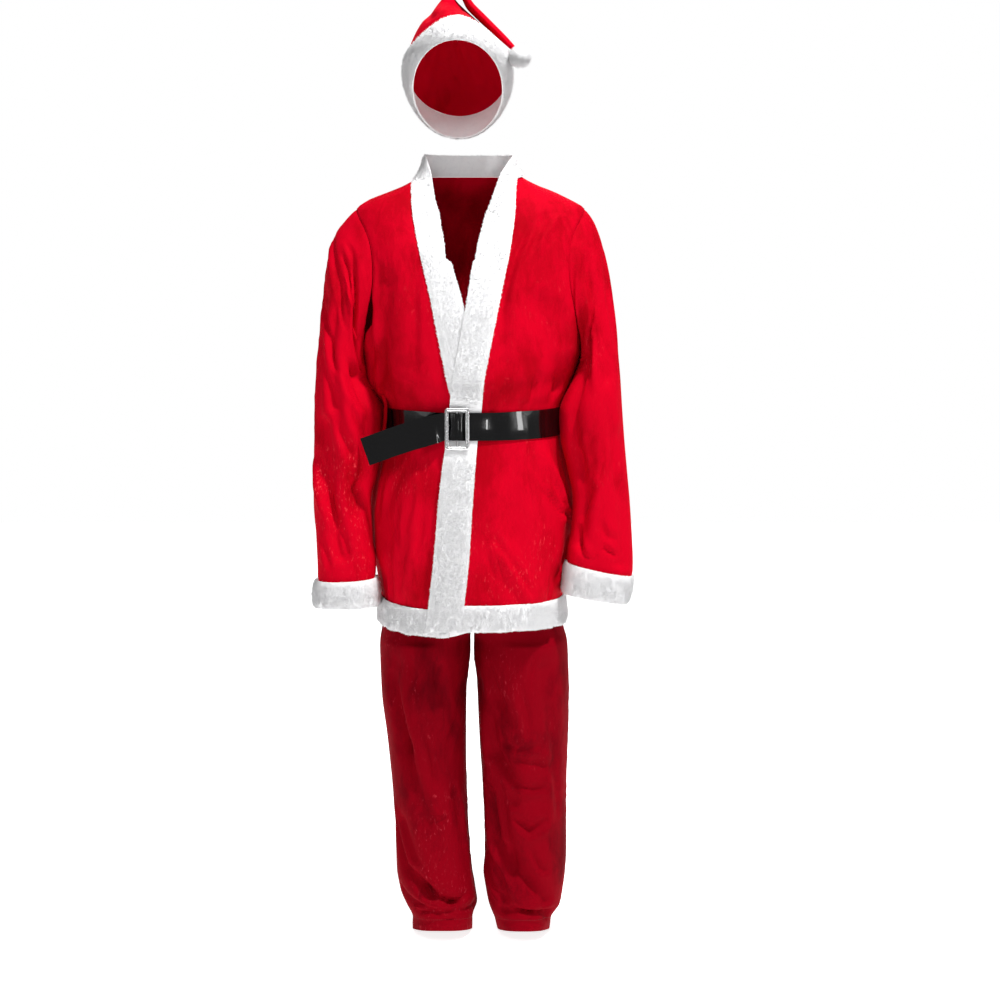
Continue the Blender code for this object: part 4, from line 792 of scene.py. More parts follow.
def hat_face(turn, row):
    """The hat's outer face with its folds, and the way out from it."""
    turn, row = np.broadcast_arrays(np.asarray(turn, float), np.asarray(row, float))
    out = normals(hat, turn, row, 1e-3, 1e-3)
    depth = folded(HAT_FOLDS, turn, row, HAT_REACH, HAT_ROW_STEP)
    return hat(turn, row) - out * np.expand_dims(depth, -1), out


def belt_bed(angle, h):
    """Where the belt's inner face lies over the fronts and the back, and the way out from there."""
    points, out = skin(-1)(angle, h)
    x = points[..., 0]
    both_bands = 2 * PILE * squeeze(h) + CLOTH + PLY_GAP
    front = (np.cos(angle) > 0) * fade(x, *BED_RIGHT_X) * (1 - fade(x, *BED_LEFT_X))
    return points + out * np.expand_dims(both_bands * front + BELT_GAP, -1), out


# ------------------------------------------------------------------ finer cloth

ROW_STEP = 0.0060  # metres between the rows of a velvet panel
ARMHOLE_ROWS = 48
FRONT_COLUMNS = 60
BACK_COLUMNS = 104
SLEEVE_COLUMNS = 110
LEG_COLUMNS = 62
BAND_SHARES = np.linspace(0, 1, 13)
HEM_COLUMNS = {"right": 80, "left": 80, "back": 160}
NECK_COLUMNS = 70
HAT_COLUMNS = 150
CROWN_COLUMNS = 56
BACKING = 0.45  # share of the pile's height that the plush's backing takes
SEAM_DIP = 0.0013  # how deep a seam draws the cloth in, and over what width
SEAM_REACH = 0.0042
PILE_DENSITY = 420000  # locks on a square metre
LOCK_WIDTH = 0.00085
LOCK_LENGTH = 1.75  # length of a lock for each metre of pile above the backing, and the shortest lock
SHORTEST_LOCK = 0.0006
LOCK_SPLAY = 1.3  # how far the locks lean out over a band's edges
CLUMPING = 0.10  # how far neighbouring locks lean together, and how far each leans its own way
RUFFLE = 0.30
POMPOM_LOCKS = 3400
POMPOM_LOCK_WIDTH = 0.0013
POMPOM_LOCK_LENGTH = 1.12
HAT_PLUSH = 1.2  # how much further than on the jacket the hat's plush stands out
HAT_SEAM_DIP = 0.0008
PLEAT = 0.0038  # how far the gathered plush stands out in its pleats
BLOUSE = 0.0040  # how far the cloth bulges over the belt at each side, at what height, and how high
BLOUSE_HEIGHT = -0.372
BLOUSE_REACH = 0.022
BLOUSE_SPREAD = 0.30  # how far round from the side it reaches, as a cosine
LEG_TUCK = 0.012  # how far the trousers' fronts lie in under the jacket
HEM_STITCHING = -1.346  # height of the stitched line above the trousers' hems
HEM_FURROW = 0.0010  # how deep the stitched line draws the hem in, and over what height
HEM_FURROW_REACH = 0.004
STITCH_PITCH = 0.0036
STITCH_LENGTH = 0.72  # share of the pitch
STITCH_RADIUS = 0.0004
ALL_EDGES = ["first_row", "last_row", "first_column", "last_column"]

# Narrow creases: from a over m to b, each an angle in degrees and a height (or a row), with the
# trough's width and depth. lip says how much of it stands up again beside the trough.
CREASE_NAMES = "angle_a h_a angle_m h_m angle_b h_b width depth lip"
RIGHT_FRONT_CREASES = rows(
    CREASE_NAMES,
    [
        (-70.7, -0.131, -71.9, -0.234, -71.4, -0.335, 0.0085, 0.011, 0.35),
        (-54.4, -0.391, -51.9, -0.365, -57.2, -0.338, 0.006, 0.0055, 0.4),
        (-36.4, -0.393, -37.4, -0.373, -38.6, -0.341, 0.006, 0.0045, 0.4),
        (-22.6, -0.394, -23.1, -0.375, -24.3, -0.352, 0.005, 0.0035, 0.4),
        (-83.2, -0.391, -71.2, -0.36, -71.2, -0.324, 0.007, 0.003, 0.5),
        (-86, -0.497, -86, -0.535, -83.2, -0.578, 0.008, 0.003, 0.5),
        (-61.2, -0.498, -64.9, -0.538, -65.9, -0.591, 0.006, 0.005, 0.4),
        (-29.8, -0.577, -32.8, -0.61, -35.6, -0.642, 0.004, 0.0032, 0.8),
        (-45.9, -0.545, -48.6, -0.584, -46.9, -0.625, 0.005, 0.0045, 0.5),
        (-39.6, -0.612, -43.9, -0.657, -45.4, -0.707, 0.005, 0.0045, 0.5),
        (-25.6, -0.617, -28.1, -0.662, -27.1, -0.715, 0.005, 0.0035, 0.5),
        (-53.6, -0.586, -55.4, -0.654, -55.1, -0.728, 0.008, 0.007, 0.5),
        (-35.1, -0.509, -37.4, -0.556, -42.4, -0.604, 0.005, 0.0035, 0.5),
        (-21.3, -0.643, -22.1, -0.678, -21.3, -0.718, 0.006, 0.004, 0.5),
        (-61.9, -0.685, -62.9, -0.718, -65.4, -0.745, 0.005, 0.0045, 0.4),
        (-67.7, -0.198, -70.4, -0.251, -77.2, -0.307, 0.008, 0.006, 0.5),
        (-62.7, -0.124, -64.2, -0.179, -64.2, -0.223, 0.006, 0.003, 0.5),
    ],
)
LEFT_FRONT_CREASES = rows(
    CREASE_NAMES,
    [
        (64.9, -0.328, 62.4, -0.357, 54.6, -0.378, 0.006, 0.007, 0.5),
        (58.7, -0.05, 42.1, -0.107, 23.1, -0.219, 0.006, 0.0045, 1),
        (68.2, -0.038, 59.4, -0.069, 51.1, -0.107, 0.006, 0.004, 1),
        (48.4, -0.088, 33.1, -0.17, 21.3, -0.262, 0.008, 0.004, 0.5),
        (18.1, -0.387, 20.3, -0.361, 23.3, -0.331, 0.006, 0.005, 0.4),
        (8, -0.39, 9.8, -0.37, 12.3, -0.35, 0.005, 0.0035, 0.4),
        (38.6, -0.385, 40.9, -0.357, 44.1, -0.319, 0.007, 0.006, 0.5),
        (54.1, -0.384, 60.2, -0.357, 61.2, -0.316, 0.007, 0.003, 0.5),
        (14.3, -0.606, 26.8, -0.661, 42.1, -0.734, 0.006, 0.006, -0.9),
        (44.4, -0.525, 59.2, -0.571, 86, -0.599, 0.005, 0.0045, 0.9),
        (49.6, -0.491, 58.4, -0.55, 85.2, -0.621, 0.006, 0.006, 0.9),
        (9.3, -0.632, 12.3, -0.659, 15.1, -0.688, 0.004, 0.003, 0.9),
        (78.2, -0.614, 76.7, -0.662, 56.9, -0.699, 0.006, 0.006, 0.9),
        (72.7, -0.45, 74.7, -0.489, 77.7, -0.533, 0.007, 0.0035, 0.5),
        (18.1, -0.449, 19.3, -0.491, 17.3, -0.533, 0.007, 0.0025, 0.5),
        (38.1, -0.458, 35.4, -0.51, 37.6, -0.562, 0.008, 0.003, -0.5),
        (54.9, -0.704, 52.9, -0.722, 52.1, -0.738, 0.004, 0.004, 0.4),
        (62.4, -0.196, 63.4, -0.25, 64.2, -0.305, 0.009, 0.006, 0.5),
    ],
)
BACK_CREASES = rows(
    CREASE_NAMES,
    [
        (118, -0.12, 122, -0.22, 128, -0.34, 0.009, 0.0065, 0.5),
        (140, -0.2, 138, -0.28, 141, -0.37, 0.008, 0.006, -0.5),
        (160, -0.1, 158, -0.2, 162, -0.31, 0.009, 0.005, 0.5),
        (186, -0.16, 184, -0.26, 188, -0.37, 0.008, 0.006, 0.5),
        (205, -0.08, 209, -0.18, 206, -0.29, 0.009, 0.005, -0.5),
        (226, -0.19, 223, -0.28, 228, -0.37, 0.008, 0.0065, 0.5),
        (243, -0.12, 239, -0.22, 236, -0.33, 0.009, 0.0065, 0.5),
        (176, -0.3, 171, -0.34, 170, -0.38, 0.006, 0.005, 0.4),
        (198, -0.31, 201, -0.35, 200, -0.385, 0.006, 0.0045, 0.4),
        (113, -0.45, 111, -0.53, 107, -0.62, 0.008, 0.007, 0.5),
        (131, -0.45, 128, -0.56, 131, -0.7, 0.008, 0.0075, 0.5),
        (146, -0.45, 149, -0.52, 145, -0.6, 0.007, 0.005, -0.5),
        (163, -0.45, 160, -0.57, 165, -0.71, 0.008, 0.007, 0.5),
        (181, -0.45, 184, -0.53, 181, -0.61, 0.007, 0.0055, 0.5),
        (198, -0.46, 202, -0.59, 198, -0.72, 0.009, 0.0075, -0.5),
        (216, -0.45, 213, -0.53, 218, -0.62, 0.007, 0.006, 0.5),
        (234, -0.45, 239, -0.57, 236, -0.71, 0.008, 0.0075, 0.5),
        (249, -0.46, 252, -0.53, 250, -0.61, 0.007, 0.006, -0.5),
    ],
)
RIGHT_SLEEVE_CREASES = rows(
    CREASE_NAMES,
    [
        (45.7, 1.39, 99.3, 2.2, 150.9, 4.56, 0.0085, 0.012, 0.35),
        (74.2, 6.4, 80.7, 7.73, 102.8, 8.67, 0.007, 0.006, 0.5),
        (46.2, 2.05, 86.7, 2.4, 131.8, 2.53, 0.007, 0.0075, 0.5),
        (4.6, 1.97, 51.2, 3.04, 91.8, 3.79, 0.008, 0.0055, 0.5),
        (10.1, 4.24, 55.7, 4.92, 83.7, 5.8, 0.007, 0.0065, 0.5),
        (36.1, 5.48, 59.2, 6.53, 73.7, 7.85, 0.007, 0.0055, -0.4),
        (24.6, 8.49, 61.2, 9.69, 90.3, 10.64, 0.009, 0.0115, 0.6),
        (90.3, 10.64, 98.8, 11.04, 99.8, 11.7, 0.006, 0.0055, 0.4),
        (100.8, 5.54, 107.3, 6.2, 119.8, 6.91, 0.008, 0.0055, 0.5),
        (98.3, 6.61, 107.8, 7.32, 122.8, 8.02, 0.007, 0.006, 0.5),
        (114.8, 9.37, 137.3, 9.8, 146.4, 10.21, 0.011, 0.0095, 0.3),
        (92.8, 8, 101.3, 8.47, 102.3, 9.09, 0.006, 0.004, 0.4),
        (45.2, 11.02, 52.7, 11.56, 60.2, 12.26, 0.006, 0.004, 0.5),
        (230, 2.4, 238, 4.6, 234, 7, 0.008, 0.007, 0.5),
        (262, 1.6, 258, 4.2, 266, 7.4, 0.008, 0.0065, -0.5),
        (296, 3, 290, 5.6, 284, 8.2, 0.008, 0.006, 0.5),
        (222, 7.4, 246, 8.6, 262, 8.8, 0.006, 0.0065, 0.5),
        (236, 9.2, 262, 9.9, 290, 9.6, 0.006, 0.0055, 0.5),
        (274, 9.8, 268, 11.4, 276, 12.8, 0.008, 0.006, 0.5),
        (312, 7.2, 304, 9.6, 310, 12, 0.008, 0.0055, -0.5),
        (236, 10.8, 230, 12, 236, 13, 0.007, 0.0045, 0.5),
    ],
)
LEFT_SLEEVE_CREASES = rows(
    CREASE_NAMES,
    [
        (66.2, 0.9, 122.3, 0, 199.5, 4.9, 0.0085, 0.01, 0.35),
        (64.2, 3.23, 134.3, 3.21, 96.3, 6.55, 0.007, 0.0055, 0.5),
        (80.2, 0.32, 116.8, 0, 209, 2.8, 0.009, 0.005, 0.5),
        (23.6, 2.37, 36.1, 3.98, 30.6, 5.56, 0.008, 0.0045, 0.5),
        (48.7, 1.65, 87.7, 3.34, 86.7, 6.1, 0.008, 0.004, -0.4),
        (142.9, 4.15, 136.3, 6.2, 137.3, 7.68, 0.008, 0.007, 0.5),
        (99.8, 9.44, 125.8, 10.06, 147.4, 10.64, 0.006, 0.006, 0.6),
        (151.4, 10.72, 138.3, 11.36, 114.8, 12.22, 0.006, 0.0075, 0.5),
        (91.3, 11.43, 78.2, 11.58, 63.7, 11.79, 0.006, 0.005, 0.5),
        (63.2, 6.7, 56.2, 8.35, 54.7, 9.86, 0.009, 0.005, 0.4),
        (96.8, 7.64, 99.3, 8.8, 116.3, 9.76, 0.008, 0.0045, -0.5),
        (100.3, 10.48, 84.7, 10.93, 59.2, 11.08, 0.007, 0.004, 0.4),
        (234, 2.2, 230, 4.6, 238, 7.2, 0.008, 0.007, 0.5),
        (262, 1.8, 268, 4, 262, 6.8, 0.008, 0.006, -0.5),
        (292, 2.8, 298, 5.2, 290, 8.4, 0.008, 0.0065, 0.5),
        (226, 7.8, 244, 8.9, 268, 9, 0.006, 0.006, 0.5),
        (244, 9.6, 266, 10.2, 296, 9.9, 0.006, 0.0055, 0.5),
        (280, 10.2, 272, 11.6, 280, 12.9, 0.008, 0.006, -0.5),
        (314, 6.8, 308, 9.4, 314, 12.2, 0.008, 0.0055, 0.5),
    ],
)
RIGHT_LEG_CREASES = rows(
    CREASE_NAMES,
    [
        (41.1, -0.859, 54.1, -0.943, 69.9, -1.085, 0.01, 0.011, 0.5),
        (68.6, -0.816, 77.1, -0.856, 88, -0.9, 0.008, 0.0045, 0.5),
        (146.6, -0.937, 132.2, -0.976, 120, -1.021, 0.006, 0.0045, 0.8),
        (6.8, -1.123, 43.3, -1.233, 92.5, -1.287, 0.011, 0.013, 0.6),
        (89.3, -1.285, 107.4, -1.294, 128.6, -1.294, 0.007, 0.006, 0.5),
        (37.9, -1.32, 53.7, -1.325, 72.2, -1.328, 0.005, 0.006, 0.6),
        (148, -1.283, 125.9, -1.293, 102, -1.303, 0.005, 0.0055, 0.6),
        (92, -1.121, 102.4, -1.136, 118.2, -1.136, 0.004, 0.0032, 0.8),
        (96.1, -1.226, 110.1, -1.203, 114.1, -1.181, 0.004, 0.0032, 0.8),
        (112.3, -0.816, 112.3, -0.874, 124.1, -0.923, 0.009, 0.005, 0.5),
        (23, -1.348, 87.1, -1.348, 145.7, -1.338, 0.004, 0.003, 0.5),
        (92.5, -0.965, 100.6, -1.013, 104.7, -1.061, 0.007, 0.0035, -0.5),
        (129.5, -1.064, 142.6, -1.144, 152.9, -1.222, 0.008, 0.005, 0.5),
        (214, -0.86, 222, -0.96, 220, -1.08, 0.009, 0.0075, 0.5),
        (244, -0.84, 250, -0.98, 244, -1.12, 0.01, 0.008, 0.5),
        (276, -0.86, 268, -1, 274, -1.16, 0.01, 0.008, -0.5),
        (308, -0.88, 300, -1.02, 306, -1.16, 0.009, 0.007, 0.5),
        (330, -1, 336, -1.12, 328, -1.24, 0.009, 0.007, 0.5),
        (216, -1.09, 248, -1.12, 282, -1.095, 0.006, 0.0055, 0.5),
        (232, -1.17, 264, -1.2, 300, -1.18, 0.007, 0.006, 0.5),
        (212, -1.24, 240, -1.28, 284, -1.29, 0.008, 0.008, 0.5),
        (230, -1.315, 262, -1.325, 316, -1.305, 0.006, 0.0065, 0.5),
        (196, -1.3, 206, -1.325, 232, -1.34, 0.005, 0.0045, 0.5),
    ],
)
LEFT_LEG_CREASES = rows(
    CREASE_NAMES,
    [
        (140.3, -0.842, 126.8, -0.906, 100.2, -0.966, 0.01, 0.0085, 0.5),
        (140.3, -0.936, 134.4, -1.015, 95.2, -1.076, 0.011, 0.0125, 0.5),
        (127.7, -0.993, 95.2, -1, 61.8, -1, 0.006, 0.0045, 0.5),
        (105.6, -1.069, 79.8, -1.078, 51.9, -1.079, 0.005, 0.005, 0.6),
        (109.2, -1.129, 84.4, -1.156, 56.4, -1.138, 0.008, 0.0085, 0.5),
        (150.7, -1.069, 139.8, -1.186, 89.8, -1.28, 0.009, 0.011, 0.5),
        (131.3, -1.184, 104.7, -1.231, 71.3, -1.279, 0.008, 0.008, 0.5),
        (165.1, -1.23, 144.4, -1.264, 120.5, -1.302, 0.006, 0.006, 0.5),
        (120.5, -1.302, 85.3, -1.324, 31.6, -1.337, 0.006, 0.0065, 0.5),
        (157.4, -1.2, 138, -1.235, 119.1, -1.272, 0.006, 0.005, -0.5),
        (93.4, -0.885, 86.6, -0.934, 82.6, -0.983, 0.008, 0.0045, 0.5),
        (56.4, -0.913, 43.3, -1.029, 37.4, -1.144, 0.01, 0.0055, 0.5),
        (72.2, -0.825, 78, -0.852, 83, -0.878, 0.005, 0.0035, 0.8),
        (141.7, -1.349, 88.4, -1.354, 32.9, -1.348, 0.004, 0.003, 0.5),
        (84.8, -1.192, 70.4, -1.228, 52.8, -1.239, 0.006, 0.005, 0.5),
        (212, -0.87, 218, -0.98, 214, -1.1, 0.009, 0.0075, -0.5),
        (246, -0.85, 240, -0.97, 248, -1.1, 0.01, 0.008, 0.5),
        (278, -0.85, 284, -0.99, 276, -1.14, 0.01, 0.008, 0.5),
        (310, -0.9, 302, -1.04, 310, -1.18, 0.009, 0.007, -0.5),
        (222, -1.1, 250, -1.13, 288, -1.11, 0.006, 0.0055, 0.5),
        (238, -1.18, 268, -1.205, 306, -1.17, 0.007, 0.006, 0.5),
        (214, -1.25, 246, -1.285, 290, -1.28, 0.008, 0.008, 0.5),
        (228, -1.32, 266, -1.33, 312, -1.31, 0.006, 0.006, 0.5),
        (334, -1.02, 328, -1.14, 334, -1.25, 0.009, 0.0065, 0.5),
    ],
)


def creased(table, angle, height, reach, step=1.0):
    """How deep the narrow creases of a table are at each place."""
    total = np.zeros(np.broadcast(angle, height).shape)
    for angle_a, h_a, angle_m, h_m, angle_b, h_b, width, depth, lip in zip(*table.values()):
        turn = (angle - math.radians(angle_m) + math.pi) % (2 * math.pi) - math.pi
        place = np.stack(np.broadcast_arrays(turn * reach, (height - h_m) * step), axis=-1)
        nearest, signed, along = np.full(total.shape, 9.0), np.zeros(total.shape), np.zeros(total.shape)
        for end_angle, end_h, way in ((angle_a, h_a, -1), (angle_b, h_b, 1)):
            ahead = np.array([math.radians(end_angle - angle_m) * reach, (end_h - h_m) * step])
            size = max(ahead @ ahead, 1e-9)
            t = np.clip(place @ ahead / size, 0, 1)
            away = place - t[..., None] * ahead
            distance = np.linalg.norm(away, axis=-1)
            side = way * (ahead[0] * away[..., 1] - ahead[1] * away[..., 0])
            closer = distance < nearest
            nearest = np.where(closer, distance, nearest)
            signed = np.where(closer, np.sign(side) * distance, signed)
            along = np.where(closer, 0.5 + 0.5 * way * t, along)
        ends = np.clip(1 - (2 * along - 1) ** 2, 0, 1) ** 0.6
        trough = np.exp(-((nearest / width) ** 2))
        ridge = abs(lip) * np.exp(-(((signed * np.sign(lip or 1) - 1.9 * width) / width) ** 2))
        total += depth * ends * (trough - ridge)
    return total


def refined(values, step):
    """The same values with more between them, no further apart than step."""
    parts = []
    for a, b in zip(values[:-1], values[1:]):
        parts.append(np.linspace(a, b, max(1, math.ceil(abs(b - a) / step)), endpoint=False))
    return np.concatenate(parts + [values[-1:]])


def noise(points, size, seed):
    """Smooth noise from -1 to 1, from random values at the corners of cells of this size."""
    cells = points / np.array(size)
    low = np.floor(cells).astype(int)
    t = cells - low
    t = t * t * (3 - 2 * t)
    values = np.random.default_rng(seed).uniform(-1, 1, (32, 32, 64))
    total = np.zeros(points.shape[:-1])
    for corner in np.ndindex(2, 2, 2):
        at = low + corner
        weight = np.prod(np.where(corner, t, 1 - t), axis=-1)
        total += weight * values[at[..., 0] % 32, at[..., 1] % 32, at[..., 2] % 64]
    return total


def unevenness(points, amount=1.0):
    """The slight waviness of hung velvet, longer down than across, and its small crushed dents."""
    slow = noise(points, (0.055, 0.055, 0.150), 11) * 0.0018
    middle = noise(points, (0.022, 0.022, 0.050), 12) * 0.0006
    shifted = points + 0.004 * noise(points, (0.03,) * 3, 15)[..., None]
    crush = 1 - np.abs(noise(shifted, (0.013, 0.013, 0.024), 13))
    where = fade(noise(points, (0.10, 0.10, 0.14), 14), 0.0, 0.6)
    return amount * (slow + middle - 0.0011 * where * crush**6)


def edge_distance(points, sides):
    """How far each point of a grid is from the nearest of the named edges, along the cloth."""
    far = np.full(points.shape[:2], 9.0)
    for axis, first, last in ((0, "first_row", "last_row"), (1, "first_column", "last_column")):
        step = np.linalg.norm(np.diff(points, axis=axis), axis=-1)
        pad = np.zeros_like(np.take(step, [0], axis=axis))
        run = np.concatenate([pad, np.cumsum(step, axis=axis)], axis=axis)
        if first in sides:
            far = np.minimum(far, run)
        if last in sides:
            far = np.minimum(far, np.take(run, [-1], axis=axis) - run)
    return far


def seamed(points, out, sides, dip=SEAM_DIP):
    """Draws a panel's sewn edges in, so that each seam is a soft furrow."""
    away = edge_distance(points, sides)
    return points - out * np.expand_dims(dip * np.exp(-((away / SEAM_REACH) ** 2)), -1)


def grid_faces(row_count, column_count, around):
    """Faces of a wall of two layers over a grid, with closed rims."""
    number = np.arange(row_count * column_count).reshape(row_count, column_count)
    if around:
        number = np.concatenate([number, number[:, :1]], axis=1)
    layer = row_count * column_count
    a, b, c, d = number[:-1, :-1], number[:-1, 1:], number[1:, 1:], number[1:, :-1]
    quads = [np.stack([a, b, c, d], axis=-1), np.stack([d, c, b, a], axis=-1) + layer]
    rims = [(number[0, 1:], number[0, :-1]), (number[-1, :-1], number[-1, 1:])]
    if not around:
        rims += [(number[:-1, 0], number[1:, 0]), (number[1:, -1], number[:-1, -1])]
    for p, q in rims:
        quads.append(np.stack([p, q, q + layer, p + layer], axis=-1))
    return np.concatenate([part.reshape(-1, 4) for part in quads])


def body(name, vertices, faces, material):
    """One object from arrays of points and faces, smooth apart from its sharp rims."""
    mesh = bpy.data.meshes.new(name)
    mesh.from_pydata(np.asarray(vertices, float).reshape(-1, 3).tolist(), [], np.asarray(faces).tolist())
    mesh.shade_smooth()
    mesh.set_sharp_from_angle(angle=math.radians(60))
    mesh.materials.append(material)
    made = bpy.data.objects.new(name, mesh)
    bpy.context.scene.collection.objects.link(made)
    return made


def shell(name, points, out, material, thickness=CLOTH, raised=0.0, around=False):
    """A thin closed wall over a grid of points."""
    outer = points + out * np.expand_dims(np.broadcast_to(raised, points.shape[:2]), -1)
    inner = points - out * thickness
    vertices = np.concatenate([outer.reshape(-1, 3), inner.reshape(-1, 3)])
    return body(name, vertices, grid_faces(*points.shape[:2], around), material)


def pile(name, points, out, lean, height, seed, around=False):
    """Short locks standing on a grid of points: spikes of three sides that lean with their neighbours."""
    rng = np.random.default_rng(seed)
    fields = [points, out, lean, np.broadcast_to(height, points.shape[:2])[..., None]]
    if around:
        fields = [np.concatenate([field, field[:, :1]], axis=1) for field in fields]
    grid = fields[0]
    area = np.linalg.norm(np.cross(grid[1:, :-1] - grid[:-1, :-1], grid[:-1, 1:] - grid[:-1, :-1]), axis=-1)
    run = np.cumsum(area.ravel())
    count = int(run[-1] * PILE_DENSITY)
    cell = np.minimum(np.searchsorted(run, rng.random(count) * run[-1]), area.size - 1)
    i, j = np.divmod(cell, area.shape[1])
    u, v = rng.random((2, count, 1))

    def at(field):
        low = field[i, j] * (1 - u) + field[i, j + 1] * u
        return low * (1 - v) + (field[i + 1, j] * (1 - u) + field[i + 1, j + 1] * u) * v

    root, up, drift, tall = (at(field) for field in fields)
    return locks(name, root, up, drift, tall, rng, LOCK_WIDTH)


def locks(name, root, up, drift, tall, rng, width):
    """Locks of plush as one object, each a spike of three sides on its own root."""
    count = len(root)
    clump = np.stack([noise(root, (0.008,) * 3, 21 + k) for k in range(3)], axis=-1)
    way = up + drift + CLUMPING * clump + RUFFLE * rng.normal(size=(count, 3))
    way /= np.linalg.norm(way, axis=-1, keepdims=True)
    tip = root + way * tall * rng.uniform(0.7, 1.2, (count, 1))
    side = np.cross(way, rng.normal(size=(count, 3)))
    side /= np.linalg.norm(side, axis=-1, keepdims=True)
    other = np.cross(way, side)
    foot = root - up * 0.0005
    ring = []
    for turn in (0, 2 * math.pi / 3, 4 * math.pi / 3):
        ring.append(foot + width * (math.cos(turn) * side + math.sin(turn) * other))
    vertices = np.stack([*ring, tip], axis=1)
    first = 4 * np.arange(count)[:, None]
    faces = np.concatenate([first + [0, 1, 3], first + [1, 2, 3], first + [2, 0, 3]])
    made = body(name, vertices, faces, PLUSH)
    shown = up + 0.2 * way
    shown /= np.linalg.norm(shown, axis=-1, keepdims=True)
    made.data.normals_split_custom_set_from_vertices(np.repeat(shown, 4, axis=0).tolist())
    return made


# ------------------------------------------------------------------ finishes


class Value:
    """A value in a finish. Arithmetic on it adds Math nodes."""

    def __init__(self, recipe, socket):
        self.recipe, self.socket = recipe, socket

    def maths(self, operation, *values):
        return self.recipe.node("ShaderNodeMath", {"operation": operation}, dict(enumerate(values)))

    def __add__(self, other):
        return self.maths("ADD", self, other)

    def __sub__(self, other):
        return self.maths("SUBTRACT", self, other)

    def __rsub__(self, other):
        return self.maths("SUBTRACT", other, self)

    def __mul__(self, other):
        return self.maths("MULTIPLY", self, other)

    def __pow__(self, other):
        return self.maths("POWER", self, other)

    def __abs__(self):
        return self.maths("ABSOLUTE", self)

    __radd__ = __add__
    __rmul__ = __mul__


class Recipe:
    """One material and the nodes that make up its finish. Constants go straight on the shader's sockets."""

    def __init__(self, name, **constants):
        self.material = bpy.data.materials.new(name)
        self.material.use_nodes = True
        self.tree = self.material.node_tree
        self.shader = self.tree.nodes["Principled BSDF"]
        self.feed(self.shader, {key.replace("_", " "): value for key, value in constants.items()})
        self.place = self.node("ShaderNodeTexCoord", output="Object")

    def node(self, kind, settings=None, inputs=None, output=0):
        made = self.tree.nodes.new(kind)
        for key, value in (settings or {}).items():
            setattr(made, key, value)
        self.feed(made, inputs or {})
        return Value(self, made.outputs[output])

    def feed(self, made, inputs):
        for key, value in inputs.items():
            if isinstance(value, Value):
                self.tree.links.new(value.socket, made.inputs[key])
            else:
                made.inputs[key].default_value = value

    def stretched(self, scale):
        return self.node("ShaderNodeVectorMath", {"operation": "MULTIPLY"}, {0: self.place, 1: scale})

    def noise(self, scale, detail=2.0, rough=0.5, bent=0.0, along=(1, 1, 1)):
        inputs = {"Vector": self.stretched(along), "Scale": scale, "Detail": detail}
        return self.node("ShaderNodeTexNoise", None, {**inputs, "Roughness": rough, "Distortion": bent})

    def mix(self, a, b, share):
        return self.node("ShaderNodeMix", {"data_type": "RGBA"}, {0: share, 6: a, 7: b}, 2)

    def step(self, value, low, high):
        inputs = {"Value": value, "From Min": low, "From Max": high}
        return self.node("ShaderNodeMapRange", {"interpolation_type": "SMOOTHSTEP"}, inputs)

    def surface(self, shown, roughness, height, distance, strength):
        """Feeds the finish: its colour, its roughness and a relief of this height in metres."""
        relief = {"Height": height, "Distance": distance, "Strength": strength}
        bump = self.node("ShaderNodeBump", None, relief)
        self.feed(self.shader, {"Base Color": shown, "Roughness": roughness, "Normal": bump})
        return self.material


def colour(red, green, blue):
    return (red, green, blue, 1.0)


def velvet(name, deep, middle, painted_glint_colour):
    """Crushed velvet: a soft nap that lies darker in patches, with short glints painted as a lighter red in
    its crushed zones.
    """
    recipe = Recipe(
        name,
        Sheen_Weight=0.10,
        Sheen_Roughness=0.35,
        Sheen_Tint=colour(1.0, 0.02, 0.04),
        Specular_IOR_Level=0.02,
    )
    patches = recipe.noise(11, 3, 0.5, 0.6, (1, 1, 0.5))
    nap = recipe.noise(62, 3, 0.6, 1.0, (1, 1, 0.40))
    flecks = recipe.noise(230, 3, 0.6, 0.7, (1, 1, 0.45))
    fibre = recipe.noise(900, 2, 0.6, 0.0, (1, 1, 0.4))
    zone = recipe.step(recipe.noise(6.5, 2, 0.5, 0.6), 0.53, 0.68)
    ridges = (1 - abs(nap * 2 - 1)) ** 9
    # painted highlights: short glints mixed into the colour as a lighter red
    painted_glints = recipe.step(flecks, 0.55, 0.74) * ridges * (zone * 0.93 + 0.07)
    lie = patches * 0.65 + nap * 0.20 + fibre * 0.15
    tone = recipe.mix(deep, middle, recipe.step(lie, 0.36, 0.54))
    shown = recipe.mix(tone, painted_glint_colour, painted_glints * 0.7)
    roughness = 0.72 - painted_glints * 0.20
    height = nap * (zone * 0.8 + 0.12) + flecks * 0.15 * zone + fibre * 0.03
    return recipe.surface(shown, roughness, height, 0.0015, 0.5)


def plush():
    """White plush: short matted pile, painted a little grey in random patches as the shade where it parts.
    """
    recipe = Recipe("white_plush", Sheen_Weight=0.15, Sheen_Roughness=0.6, Specular_IOR_Level=0.2)
    tufts = recipe.noise(95, 3, 0.6, 0.5)
    strands = recipe.noise(700, 2, 0.6)
    # painted shade: grey patches in the colour stand for the shade in the pile's partings
    unshaded_pile = recipe.step(tufts * 0.7 + strands * 0.3, 0.30, 0.56)
    shown = recipe.mix(colour(0.90, 0.90, 0.915), colour(0.97, 0.97, 0.975), unshaded_pile)
    return recipe.surface(shown, 0.94 - unshaded_pile * 0.1, tufts * 0.1 + strands * 0.5, 0.0005, 0.2)


